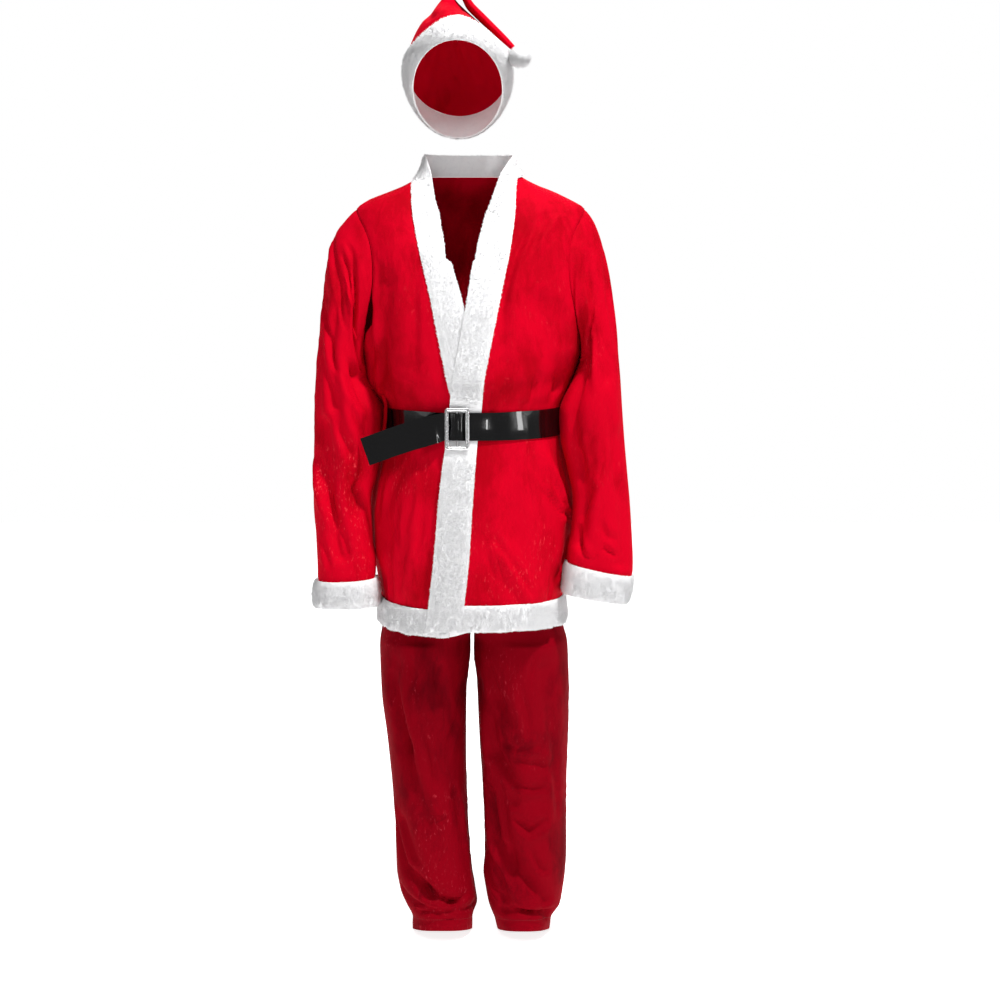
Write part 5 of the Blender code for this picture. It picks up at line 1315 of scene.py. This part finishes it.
def vinyl():
    """Black coated cloth with a wet gloss and a faint grain."""
    recipe = Recipe("black_vinyl", Coat_Weight=0.7, Coat_Roughness=0.03, Specular_IOR_Level=0.2)
    waves = recipe.noise(16, 2, 0.5, 0.4, (1.6, 1.6, 0.5))
    grain = recipe.noise(520, 2, 0.5)
    scuffs = recipe.step(recipe.noise(160, 4, 0.7, 0.6, (1, 1, 3)), 0.62, 0.74)
    shown = recipe.mix(colour(0.0015, 0.0015, 0.0018), colour(0.010, 0.010, 0.012), scuffs * 0.4)
    roughness = 0.13 + grain * 0.06 + scuffs * 0.10
    return recipe.surface(shown, roughness, waves + grain * 0.01, 0.0032, 0.7)


def silver():
    """Plated metal with fine rubbed marks."""
    recipe = Recipe("silver_buckle", Metallic=1.0)
    marks = recipe.noise(260, 3, 0.6, 0.0, (1, 1, 9))
    tarnish = recipe.step(recipe.noise(90, 3, 0.6), 0.45, 0.75)
    shown = recipe.mix(colour(0.80, 0.80, 0.81), colour(0.50, 0.50, 0.51), tarnish * 0.6)
    return recipe.surface(shown, 0.16 + marks * 0.12 + tarnish * 0.1, marks, 0.0002, 0.4)


def thread():
    """Sewing thread with its twist."""
    recipe = Recipe("hem_thread")
    twist = recipe.noise(1800, 2, 0.5)
    shown = recipe.mix(colour(0.20, 0.0, 0.006), colour(0.12, 0.0, 0.0036), twist)
    return recipe.surface(shown, 0.6 + twist * 0.1, twist, 0.0002, 0.5)


JACKET_VELVET = velvet(
    "jacket_velvet",
    deep=colour(0.36, 0.0, 0.006),
    middle=colour(0.53, 0.0, 0.012),
    painted_glint_colour=colour(0.95, 0.07, 0.09),
)
# The trousers' velvet is the jacket's cloth in darker colours: the legs' shade is painted into it.
SHADED_TROUSER_VELVET = velvet(
    "shaded_trouser_velvet",
    deep=colour(0.10, 0.0, 0.003),
    middle=colour(0.20, 0.0, 0.005),
    painted_glint_colour=colour(0.50, 0.04, 0.06),
)
PLUSH = plush()
VINYL = vinyl()
SILVER = silver()
THREAD = thread()


def dress(made, node):
    """Puts a finished piece on the frame in place of its node."""
    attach(made, "root")
    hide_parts(node)
    return made


def stitches(name, node, points, out):
    """A row of short stitches along a line of points on the cloth."""
    run = np.concatenate([[0.0], np.cumsum(np.linalg.norm(np.diff(points, axis=0), axis=-1))])
    starts = np.arange(STITCH_PITCH / 2, run[-1] - STITCH_PITCH, STITCH_PITCH)

    def along(field, places):
        return np.stack([np.interp(places, run, field[:, k]) for k in range(3)], axis=-1)

    up = along(out, starts + STITCH_PITCH / 2)
    a, b = along(points, starts), along(points, starts + STITCH_LENGTH * STITCH_PITCH)
    beside = np.cross(up, b - a)
    beside *= STITCH_RADIUS / np.linalg.norm(beside, axis=-1, keepdims=True)
    middle = (a + b) / 2 + up * STITCH_RADIUS
    ring = [middle + beside, middle + up * STITCH_RADIUS, middle - beside, middle - up * STITCH_RADIUS]
    vertices = np.stack([a, b, *ring], axis=1)
    shape = [(0, 2 + k, 2 + (k + 1) % 4) for k in range(4)]
    shape += [(1, 2 + (k + 1) % 4, 2 + k) for k in range(4)]
    faces = 6 * np.arange(len(starts))[:, None, None] + np.array(shape)
    dress(body(name, vertices, faces.reshape(-1, 3), THREAD), node)


# ------------------------------------------------------------------ the jacket


def jacket_heights():
    """Row heights from the hem's seam to the neck, closer together round the armhole."""
    below = refined(np.array([HEM_SEAM, ARMPIT]), ROW_STEP)[:-1]
    turns = np.linspace(0, math.pi, ARMHOLE_ROWS)
    hole = (ARMPIT + SHOULDER) / 2 - (SHOULDER - ARMPIT) / 2 * np.cos(turns)
    yoke = refined(np.array([SHOULDER, NECK_SEAM]), ROW_STEP)[1:]
    return np.concatenate([below, hole, yoke])


def dressed_skin(side, table):
    """The jacket's form with its narrow creases and the velvet's own unevenness."""
    face = skin(side)

    def finer(angle, h):
        points, out = face(angle, h)
        calm = fade(np.abs(h - BELT_HEIGHT), 0.026, 0.060) * fade(-h, -NECK_SEAM, -SHOULDER)
        deep = creased(table, angle, h, JACKET_REACH) + unevenness(points)
        beside = np.exp(-((np.abs(np.cos(angle)) / BLOUSE_SPREAD) ** 2))
        bulge = BLOUSE * (beside * np.exp(-(((h - BLOUSE_HEIGHT) / BLOUSE_REACH) ** 2)))
        return points - out * np.expand_dims(calm * deep - bulge, -1), out

    return finer


def band_lines(side):
    """Seam and free edge of a front band: angle and height at each of its rows."""
    name = "left" if side > 0 else "right"
    h = np.concatenate([refined(np.array([HEM, HEM_SEAM]), ROW_STEP)[:-1], jacket_heights()])
    seam = edge_angle(name + "_seam", h, side)
    free = edge_angle(name + "_free", h, side)
    free_h = h.copy()
    turning = h > NECK_TURN["seam_h"][0]
    turn = read(NECK_TURN, "seam_h", h[turning])
    free[turning] = np.radians(turn[name + "_angle"])
    free_h[turning] = turn["free_h"]
    shares = np.linspace(0, 1, 16)[1:]
    more = seam[-1] + (side * math.pi / 2 - seam[-1]) * shares
    more_free = free[-1] + (side * math.pi / 2 - free[-1]) * shares
    more_free_h = free_h[-1] + (NECK_TOP - free_h[-1]) * np.interp(shares, [0, 0.5, 1], [0, 0.7, 1])
    return (
        np.concatenate([seam, more]),
        np.concatenate([h, np.full(len(shares), NECK_SEAM)]),
        np.concatenate([free, more_free]),
        np.concatenate([free_h, more_free_h]),
    )


def sideways(points, axis, share):
    """A lean out over both edges of a band, along the cloth, where share runs from 0 to 1 across it."""
    way = np.gradient(points, axis=axis)
    way /= np.linalg.norm(way, axis=-1, keepdims=True)
    return way * np.expand_dims(LOCK_SPLAY * (2 * share - 1) ** 5, -1)


def trim(name, node, points, out, share, height, axis, seed, held="hung", around=False, keep=1.0):
    """A plush band: its backing, and the pile that stands on it. share runs from 0 to 1 across the band,
    along this axis of the grid, and keep says how much of the pile stands up."""
    if held == "gathered":
        pleats = np.clip(noise(points, (0.012, 0.012, 0.30), seed) + 0.25, 0, 1)
        loose = share if axis == 0 and around else 1 - share
        points = points + out * np.expand_dims(PLEAT * pleats * (0.35 + 0.65 * loose), -1)
    raised = height * BACKING
    backing = shell(f"{name}_plush", points, out, PLUSH, raised=raised, around=around)
    top = points + out * np.expand_dims(raised, -1)
    tall = np.maximum(height * (1 - BACKING) * LOCK_LENGTH * keep, SHORTEST_LOCK)
    locks_made = pile(f"{name}_pile", top, out, sideways(points, axis, share), tall, seed, around)
    dress(locks_made, node)
    dress(backing, node)


def jacket():
    """The two fronts and the back, with their plush."""
    h = jacket_heights()
    for side, name, table in ((-1, "right", RIGHT_FRONT_CREASES), (1, "left", LEFT_FRONT_CREASES)):
        points, out = dressed_skin(side, table)(*front_grid(h, side, FRONT_COLUMNS))
        points = seamed(draw_in(points, SEAM / 2, ALL_EDGES), out, ALL_EDGES)
        panel = shell(f"{name}_front_velvet", points, out, JACKET_VELVET)
        dress(panel, f"jacket_front_{name}")
        front_band(side, name)
        hem_band(side, name)
    points, out = dressed_skin(-1, BACK_CREASES)(*back_grid(h, BACK_COLUMNS))
    points = seamed(draw_in(points, SEAM / 2, ALL_EDGES), out, ALL_EDGES)
    panel = shell("back_velvet", points, out, JACKET_VELVET)
    dress(panel, "jacket_back")
    hem_band(0, "back")
    neck_band()


def lifted(points, side):
    """The under front's hem, which rises towards its free edge until the upper front hides it."""
    if side >= 0:
        return points
    rise = fade(points[..., 0], -0.050, 0.008) * fade(-points[..., 2], 0.60, 0.78)
    return points + np.array([0.0, 0.0, RIGHT_FRONT_HANGS]) * np.expand_dims(rise, -1)


def front_band(side, name):
    """The plush down one front, from the hem up to the back of the neck."""
    seam, seam_h, free, free_h = band_lines(side)
    angle = seam[:, None] + (free - seam)[:, None] * BAND_SHARES
    height = seam_h[:, None] + (free_h - seam_h)[:, None] * BAND_SHARES
    points, out = skin(side)(angle, height)
    points = lifted(draw_in(points, SEAM, ["first_column", "last_row"]), side)
    share = np.broadcast_to(BAND_SHARES, height.shape)
    keep = squeeze(height)
    if side < 0:  # the left front covers part of this band
        under = between(FRONT_EDGES["z"], FRONT_EDGES["left_free"], points[..., 2])
        keep = keep * (1 - 0.75 * fade(points[..., 0] - under, 0.001, 0.006))
    plush_out = plush_height(height, share)
    trim(f"{name}_front", f"front_band_{name}", points, out, share, plush_out, 1, 31 + side, keep=keep)


def hem_band(side, name):
    """The plush round the hem: a front's where side is -1 or 1, and the back's where it is 0."""
    h = HEM + (HEM_SEAM - HEM) * BAND_SHARES
    grid = front_grid(h, side, HEM_COLUMNS[name]) if side else back_grid(h, HEM_COLUMNS[name])
    points, out = skin(side or -1)(*grid)
    points = draw_in(points, SEAM / 2, ["last_row", "first_column", "last_column"])
    points = lifted(points, side)
    share = np.broadcast_to(BAND_SHARES[:, None], grid[1].shape)
    plush_out = plush_height(grid[1], 1 - share)
    trim(f"{name}_hem", f"hem_band_{name}", points, out, share, plush_out, 0, 41 + side, "gathered")


def neck_band():
    """The plush that stands up behind the neck."""
    height = NECK_SEAM + (NECK_TOP - NECK_SEAM) * BAND_SHARES
    angle, height = np.meshgrid(np.linspace(math.pi / 2, 3 * math.pi / 2, NECK_COLUMNS), height)
    points, out = skin(-1)(angle, height)
    points = draw_in(points, SEAM, ["first_row", "first_column", "last_column"])
    share = np.broadcast_to(BAND_SHARES[:, None], height.shape)
    trim("neck", "neck_band", points, out, share, plush_height(height, share), 0, 51)


# ------------------------------------------------------------------ sleeves and trousers


SLEEVE_INSIDE = math.radians(192)  # the turn that faces the jacket, and how far it counts to each side
SLEEVE_INSIDE_REACH = 0.42
# How far each sleeve's inner side leans to the jacket along its rows.
SLEEVE_LEAN = rows(
    "row right left",
    [
        (2.0, 0.0000, 0.0000),
        (3.0, 0.0005, 0.0015),
        (5.5, 0.0008, 0.0012),
        (7.0, 0.0040, 0.0034),
        (9.0, 0.0030, 0.0025),
        (10.5, 0.0030, 0.0025),
        (11.5, 0.0015, 0.0025),
        (13.0, 0.0000, 0.0000),
    ],
)


def make_sleeve(side, name, table):
    """A sleeve with its creases, and the cuff at its end."""
    face = sleeve(side)
    turns = np.arange(SLEEVE_COLUMNS) * 2 * math.pi / SLEEVE_COLUMNS
    numbers = refined(np.arange(CUFF_SEAM_ROW + 1.0), 0.125)
    turn, row = np.meshgrid(turns, numbers)
    points, out = face(turn, row)
    deep = creased(table, turn, row, SLEEVE_REACH, SLEEVE_ROW_STEP) * fade(row, 0.0, 1.2)
    inner = np.exp(-(((turn - SLEEVE_INSIDE) / SLEEVE_INSIDE_REACH) ** 2))
    above_cuff = 1 - fade(row, CUFF_SEAM_ROW - 0.8, CUFF_SEAM_ROW)
    deep = deep * above_cuff * (1 - 0.75 * inner) + unevenness(points)
    deep = deep - inner * between(SLEEVE_LEAN["row"], SLEEVE_LEAN[name], row)
    points = points - out * deep[..., None]
    edges = ["first_row", "last_row"]
    points = seamed(draw_in(points, SEAM / 2, edges), out, edges)
    velvet_made = shell(f"{name}_sleeve_velvet", points, out, JACKET_VELVET, around=True)
    dress(velvet_made, f"sleeve_{name}")
    turn, row = np.meshgrid(turns, CUFF_SEAM_ROW + 2 * BAND_SHARES)
    points, out = face(turn, row)
    points = draw_in(points, SEAM / 2, ["first_row"])
    share = np.broadcast_to(BAND_SHARES[:, None], row.shape)
    plush_out = plush_height(0.0 * row, share)
    trim(f"{name}_cuff", f"cuff_{name}", points, out, share, plush_out, 0, 61 + side, "gathered", True)


def trousers():
    """Two legs of two panels each, and the waistband under the belt."""
    h = refined(np.array([TROUSER_HEM, WAIST_SEAM]), ROW_STEP)
    inner = 1e-4  # keeps the edge columns on their own panel
    for side, name, table in ((-1, "right", RIGHT_LEG_CREASES), (1, "left", LEFT_LEG_CREASES)):
        for start, part in ((0.0, "front"), (math.pi, "back")):
            turn, height = np.meshgrid(start + np.linspace(inner, math.pi - inner, LEG_COLUMNS), h)
            points, out = leg(side)(turn, height)
            free = fade(-height, -CROTCH, -CROTCH + 0.05)
            deep = free * (creased(table, turn, height, LEG_REACH) + unevenness(points))
            deep = deep + LEG_TUCK * fade(height, -0.93, -0.80) * np.clip(-out[..., 1], 0, 1)
            furrow = np.exp(-(((height - HEM_STITCHING) / HEM_FURROW_REACH) ** 2)) * HEM_FURROW
            points = points - out * (deep + furrow)[..., None]
            points = draw_in(points, SEAM / 2, ["last_row"])
            points = seamed(points, out, ["first_column", "last_column"])
            panel = shell(f"{name}_leg_{part}_velvet", points, out, SHADED_TROUSER_VELVET)
            row = np.argmin(np.abs(h - HEM_STITCHING))
            stitches(f"{name}_leg_{part}_stitches", f"trouser_{part}_{name}", points[row], out[row])
            dress(panel, f"trouser_{part}_{name}")
    h = refined(np.array([WAIST_SEAM + SEAM / 2, WAIST_TOP]), 0.004)
    points, out = waist_face(girth(h), h[:, None])
    waistband = shell("waistband_velvet", points, out, SHADED_TROUSER_VELVET, around=True)
    dress(waistband, "trouser_waistband")


# ------------------------------------------------------------------ belt


def angles_at(places, h):
    """The angles of these places in X, a row for each height."""
    return np.array([[angle_at(x, row) for x in places] for row in h])


def belt():
    """The strap from under the buckle round the back, through the buckle and out to its free end."""
    h = BELT_HEIGHT + np.linspace(-0.5, 0.5, 9) * BELT_WIDTH
    loop = girth(h)
    x = torso(loop, h[:, None])[len(h) // 2, :, 0]
    beside_buckle = BUCKLE_X - BUCKLE_WIDTH / 2 - BUCKLE_CLEARANCE
    start = angles_at(np.linspace(*STRAP_START, 9), h)
    right = loop[:, [k for k in range(FRONT_COLUMNS) if x[k] < beside_buckle - 0.001]][:, ::-1]
    back = loop[:, 2 * FRONT_COLUMNS + 1 :][:, ::-1] - 2 * math.pi
    left = loop[:, FRONT_COLUMNS + 1 : 2 * FRONT_COLUMNS + 1][:, ::-1] - 2 * math.pi
    places = read_rows(THREADING, refined(np.arange(len(THREADING["x"]), dtype=float), 0.25))
    threading = angles_at(places["x"], h) - 2 * math.pi
    angle = np.concatenate([start, right, back, left, threading], axis=1)
    raised = np.zeros(angle.shape[1])
    raised[-len(places["x"]) :] = places["raised"]
    bed, out = belt_bed(angle, np.repeat(h[:, None], angle.shape[1], 1))
    strap = bed + out * np.expand_dims(raised + BELT_THICKNESS, -1)
    middle_row = len(h) // 2
    tail_at = read_rows(TAIL, refined(np.arange(len(TAIL["x"]), dtype=float), 0.2))
    middle = np.stack([tail_at["x"], tail_at["y"], tail_at["z"]], axis=-1)
    way = np.gradient(np.concatenate([strap[middle_row, -1:], middle]), axis=0)[1:]
    way /= np.linalg.norm(way, axis=-1, keepdims=True)
    wide = np.array([0.0, 0.0, 1.0]) - way * way[:, 2:]
    wide /= np.linalg.norm(wide, axis=-1, keepdims=True)
    tail = middle + wide * BELT_WIDTH * np.linspace(-0.5, 0.5, len(h))[:, None, None]
    tail_out = np.broadcast_to(np.cross(way, wide), tail.shape)
    facing = -np.sign(tail_out[..., 1:2])
    strap = np.concatenate([strap, tail], axis=1)
    strap_out = np.concatenate([out, tail_out * facing], axis=1)
    made = shell("belt_vinyl", strap, strap_out, VINYL, thickness=BELT_THICKNESS)
    dress(made, "belt_strap")


def belt_loops():
    """The two cloth loops, each a strip with a slightly rounded face."""
    wall = LOOP_THICKNESS - LOOP_SUNK
    for name, place in LOOP_PLACES.items():
        h = refined(LOOP_WAY["h"][::-1], 0.002)[::-1][:, None]
        at = read({key: column[::-1] for key, column in LOOP_WAY.items()}, "h", h)
        spread = LOOP_WIDTH / 2 / WAIST_REACH * np.linspace(-1, 1, 7)
        points, out = skin(-1)(math.radians(place) + spread + 0 * h, h + 0 * spread)
        crown = 0.0006 * (1 - np.linspace(-1, 1, 7) ** 2) ** 0.5
        points = points + out * (at[name + "_off"] + wall + crown)[..., None]
        made = shell(f"{name}_belt_loop_velvet", points, out, JACKET_VELVET, wall)
        dress(made, f"belt_loop_{name}")


# The buckle's section: shares of its bar's width and of its thickness.
BUCKLE_SECTION = [
    (0.00, 0.22), (0.05, 0.08), (0.16, 0.00), (0.84, 0.00), (0.95, 0.08), (1.00, 0.22), (1.00, 0.62),
    (0.96, 0.78), (0.86, 0.84), (0.76, 0.80), (0.70, 0.78), (0.62, 0.94), (0.52, 1.00), (0.30, 1.00),
    (0.14, 0.92), (0.04, 0.76), (0.00, 0.60),
]  # fmt: skip


def buckle():
    """A rectangular frame with rounded bevels and a raised inner lip, and its centre bar."""
    half_wide, half_high = BUCKLE_WIDTH / 2, BUCKLE_HEIGHT / 2
    corners = []
    for quarter, (sx, sy) in enumerate(((1, 1), (-1, 1), (-1, -1), (1, -1))):
        for step in range(9):
            turn = math.radians(90 * quarter + 90 * step / 8)
            centre = (sx * (half_wide - BUCKLE_CORNER), sy * (half_high - BUCKLE_CORNER))
            corners.append((centre, (math.cos(turn), math.sin(turn))))
    section = np.array(BUCKLE_SECTION) * (BUCKLE_BAR, BUCKLE_THICKNESS)
    vertices = []
    for centre, way in corners:
        for inward, up in section:
            reach = BUCKLE_CORNER - inward
            vertices.append((centre[0] + way[0] * reach, centre[1] + way[1] * reach, up))
    count, ring = len(corners), len(section)
    faces = []
    for i in range(count):
        here, there = i * ring, (i + 1) % count * ring
        for j in range(ring):
            k = (j + 1) % ring
            faces.append((here + k, here + j, there + j, there + k))
    frame_made = body("buckle_silver", vertices, faces, SILVER)
    half = half_high - BUCKLE_BAR + CENTRE_BAR_SUNK
    rod_rings, rod_sides = 12, 14
    rod = []
    for z in np.linspace(-half, half, rod_rings):
        for turn in np.arange(rod_sides) * 2 * math.pi / rod_sides:
            way = np.array([math.cos(turn), math.sin(turn)])
            x, y = np.sign(way) * np.abs(way) ** 0.6
            up = CENTRE_BAR_THICKNESS / 2 * (1 + y) + CENTRE_BAR_RAISED
            rod.append((CENTRE_BAR_WIDTH / 2 * x, z, up))
    number = np.arange(rod_rings * rod_sides).reshape(rod_rings, rod_sides)
    ahead = np.roll(number, -1, axis=1)
    sides = np.stack([number[:-1], number[1:], ahead[1:], ahead[:-1]], axis=-1).reshape(-1, 4)
    rod_made = body("buckle_bar_silver", rod, sides, SILVER)
    h = np.array([BUCKLE_Z])
    bed, out = belt_bed(angle_at(np.array([BUCKLE_X]), h), h)
    place = bed[0] + out[0] * BUCKLE_RAISED
    facing = Euler((math.pi / 2, 0, math.atan2(out[0][0], -out[0][1])))
    turned = Matrix.Translation((place[0], place[1], BUCKLE_Z)) @ facing.to_matrix().to_4x4()
    for made in (frame_made, rod_made):
        made.data.transform(turned)
        dress(made, "belt_buckle")


# ------------------------------------------------------------------ hat


def make_hat():
    """The plush band and the two panels of the crown, over the fold and down to the tip."""
    turns = np.arange(HAT_COLUMNS) * 2 * math.pi / HAT_COLUMNS
    turn, row = np.meshgrid(turns, HAT_BAND_ROW * BAND_SHARES)
    points, out = hat_face(turn, row)
    points = draw_in(points, SEAM / 2, ["last_row"])
    share = np.broadcast_to(BAND_SHARES[:, None], row.shape)
    plush_out = plush_height(0.0 * row, share) * HAT_PLUSH
    trim("hat", "hat_band", points, out, share, plush_out, 0, 71, "stretched", True)
    numbers = refined(np.arange(HAT_BAND_ROW, len(HAT["x"]), dtype=float), 0.125)
    for start, name in ((-math.pi / 2, "front"), (math.pi / 2, "back")):
        turn, row = np.meshgrid(start + np.linspace(0, math.pi, CROWN_COLUMNS), numbers)
        points, out = hat_face(turn, row)
        calm = 1 - fade(row, 8.0, 12.0)
        points = points - out * (calm * unevenness(points, 0.8))[..., None]
        edges = ["first_row", "first_column", "last_column"]
        points = seamed(draw_in(points, SEAM / 2, edges), out, edges, HAT_SEAM_DIP)
        made = shell(f"hat_{name}_velvet", points, out, JACKET_VELVET)
        dress(made, f"hat_crown_{name}")


def make_pompom():
    """A ball of long loose locks round a small core."""
    rng = np.random.default_rng(81)
    centre = np.array(POMPOM_CENTRE)
    golden = math.pi * (3 - 5**0.5)
    number = np.arange(POMPOM_LOCKS)
    z = 1 - 2 * (number + 0.5) / POMPOM_LOCKS
    round_z = np.sqrt(1 - z * z)
    up = np.stack([round_z * np.cos(golden * number), round_z * np.sin(golden * number), z], axis=-1)
    root = centre + up * POMPOM_CORE
    tall = np.full((POMPOM_LOCKS, 1), (POMPOM_RADIUS - POMPOM_CORE) * POMPOM_LOCK_LENGTH)
    made = locks("pompom_pile", root, up, 0 * up, tall, rng, POMPOM_LOCK_WIDTH)
    dress(made, "hat_pompom")
    tilts = np.linspace(-0.499 * math.pi, 0.499 * math.pi, 24)
    turn, tilt = np.meshgrid(np.arange(40) * math.pi / 20, tilts)
    ball = np.stack([np.cos(tilt) * np.cos(turn), np.cos(tilt) * np.sin(turn), np.sin(tilt)], axis=-1)
    lumps = 1 + 0.08 * noise(ball, (0.5,) * 3, 82)[..., None]
    core = centre + ball * lumps * (POMPOM_CORE + 0.0015)
    made = shell("pompom_core_plush", core, ball, PLUSH, thickness=0.002, around=True)
    dress(made, "hat_pompom")


# ------------------------------------------------------------------ camera, lights and floor


# Lamps: where each stands, what it points at, how wide it is, its watts, and a strip's height.
LAMPS = {
    "strip": ((0.62, -3.3, -0.75), (0.05, -0.15, -0.42), 0.10, 5, 0.8),
    "far_strip": ((2.6, -1.6, -0.75), (0.12, -0.10, -0.42), 0.14, 5, 0.8),
    "key": ((1.15, -1.25, 3.35), (0.0, 0.0, -0.5), 0.36, 222),
    "fill": ((-0.9, -3.4, 2.4), (0.0, 0.0, -0.6), 1.6, 43),
    "back": ((0.4, 3.2, 2.4), (0.0, 0.0, -0.4), 2.0, 45),
}
FLOOR_CORNERS = ((-4.0, -2.0), (4.0, -2.0), (4.0, 5.0), (-4.0, 5.0))
FLOOR_GLOW = 0.82
ROUND_LIGHT = 0.25  # light of the white surroundings, and how bright they are seen
ROUND_SEEN = 1.0
CAMERA_PLACE = (0.05, -3.5, -0.07)
CAMERA_TILT = 82  # degrees from straight down
CAMERA_LENS = 70.3  # millimetres, for a frame 36 mm wide


def floor_paper():
    """Plain paper, almost white, that glows a little so that it stays as pale as what is round it."""
    recipe = Recipe("floor_paper", Emission_Color=colour(1.0, 1.0, 1.0), Emission_Strength=FLOOR_GLOW)
    grain = recipe.noise(3.0, 2, 0.5)
    shown = recipe.mix(colour(0.92, 0.92, 0.92), colour(0.9016, 0.9016, 0.9062), grain)
    return recipe.surface(shown, 0.85, grain, 0.0005, 0.1)


def area_light(name, place, towards, size, watts, tall=None):
    """A round lamp, or an upright strip where it is given a height."""
    light = bpy.data.lights.new(name, "AREA")
    light.shape = "RECTANGLE" if tall else "DISK"
    light.size, light.energy = size, watts
    light.size_y = tall or size
    made = bpy.data.objects.new(name, light)
    made.location = place
    made.rotation_euler = (Vector(towards) - Vector(place)).to_track_quat("-Z", "Y").to_euler()
    bpy.context.scene.collection.objects.link(made)


def studio():
    """The camera, the floor, the lamps and the pale surroundings."""
    scene = bpy.context.scene
    camera = bpy.data.cameras.new("camera")
    camera.sensor_width = 36
    camera.lens = CAMERA_LENS
    camera.clip_end = 200
    seat = bpy.data.objects.new("camera", camera)
    seat.location = CAMERA_PLACE
    seat.rotation_euler = (math.radians(CAMERA_TILT), 0, 0)
    scene.collection.objects.link(seat)
    scene.camera = seat
    scene.view_settings.view_transform = "Standard"
    corners = [(x, y, cad_box[0][2] - 0.002) for x, y in FLOOR_CORNERS]
    floor = body("floor", corners, [(0, 1, 2, 3)], floor_paper())
    for name, lamp in LAMPS.items():
        area_light(name, *lamp)
    world = bpy.data.worlds.new("studio")
    scene.world = world
    world.use_nodes = True
    tree = world.node_tree
    background = tree.nodes["Background"]
    background.inputs["Color"].default_value = colour(1.0, 1.0, 1.0)
    seen = tree.nodes.new("ShaderNodeLightPath")
    strength = tree.nodes.new("ShaderNodeMapRange")
    strength.inputs["To Min"].default_value = ROUND_LIGHT
    strength.inputs["To Max"].default_value = ROUND_SEEN
    tree.links.new(seen.outputs["Is Camera Ray"], strength.inputs["Value"])
    tree.links.new(strength.outputs["Result"], background.inputs["Strength"])


jacket()
make_sleeve(-1, "right", RIGHT_SLEEVE_CREASES)
make_sleeve(1, "left", LEFT_SLEEVE_CREASES)
trousers()
belt()
belt_loops()
buckle()
make_hat()
make_pompom()
studio()
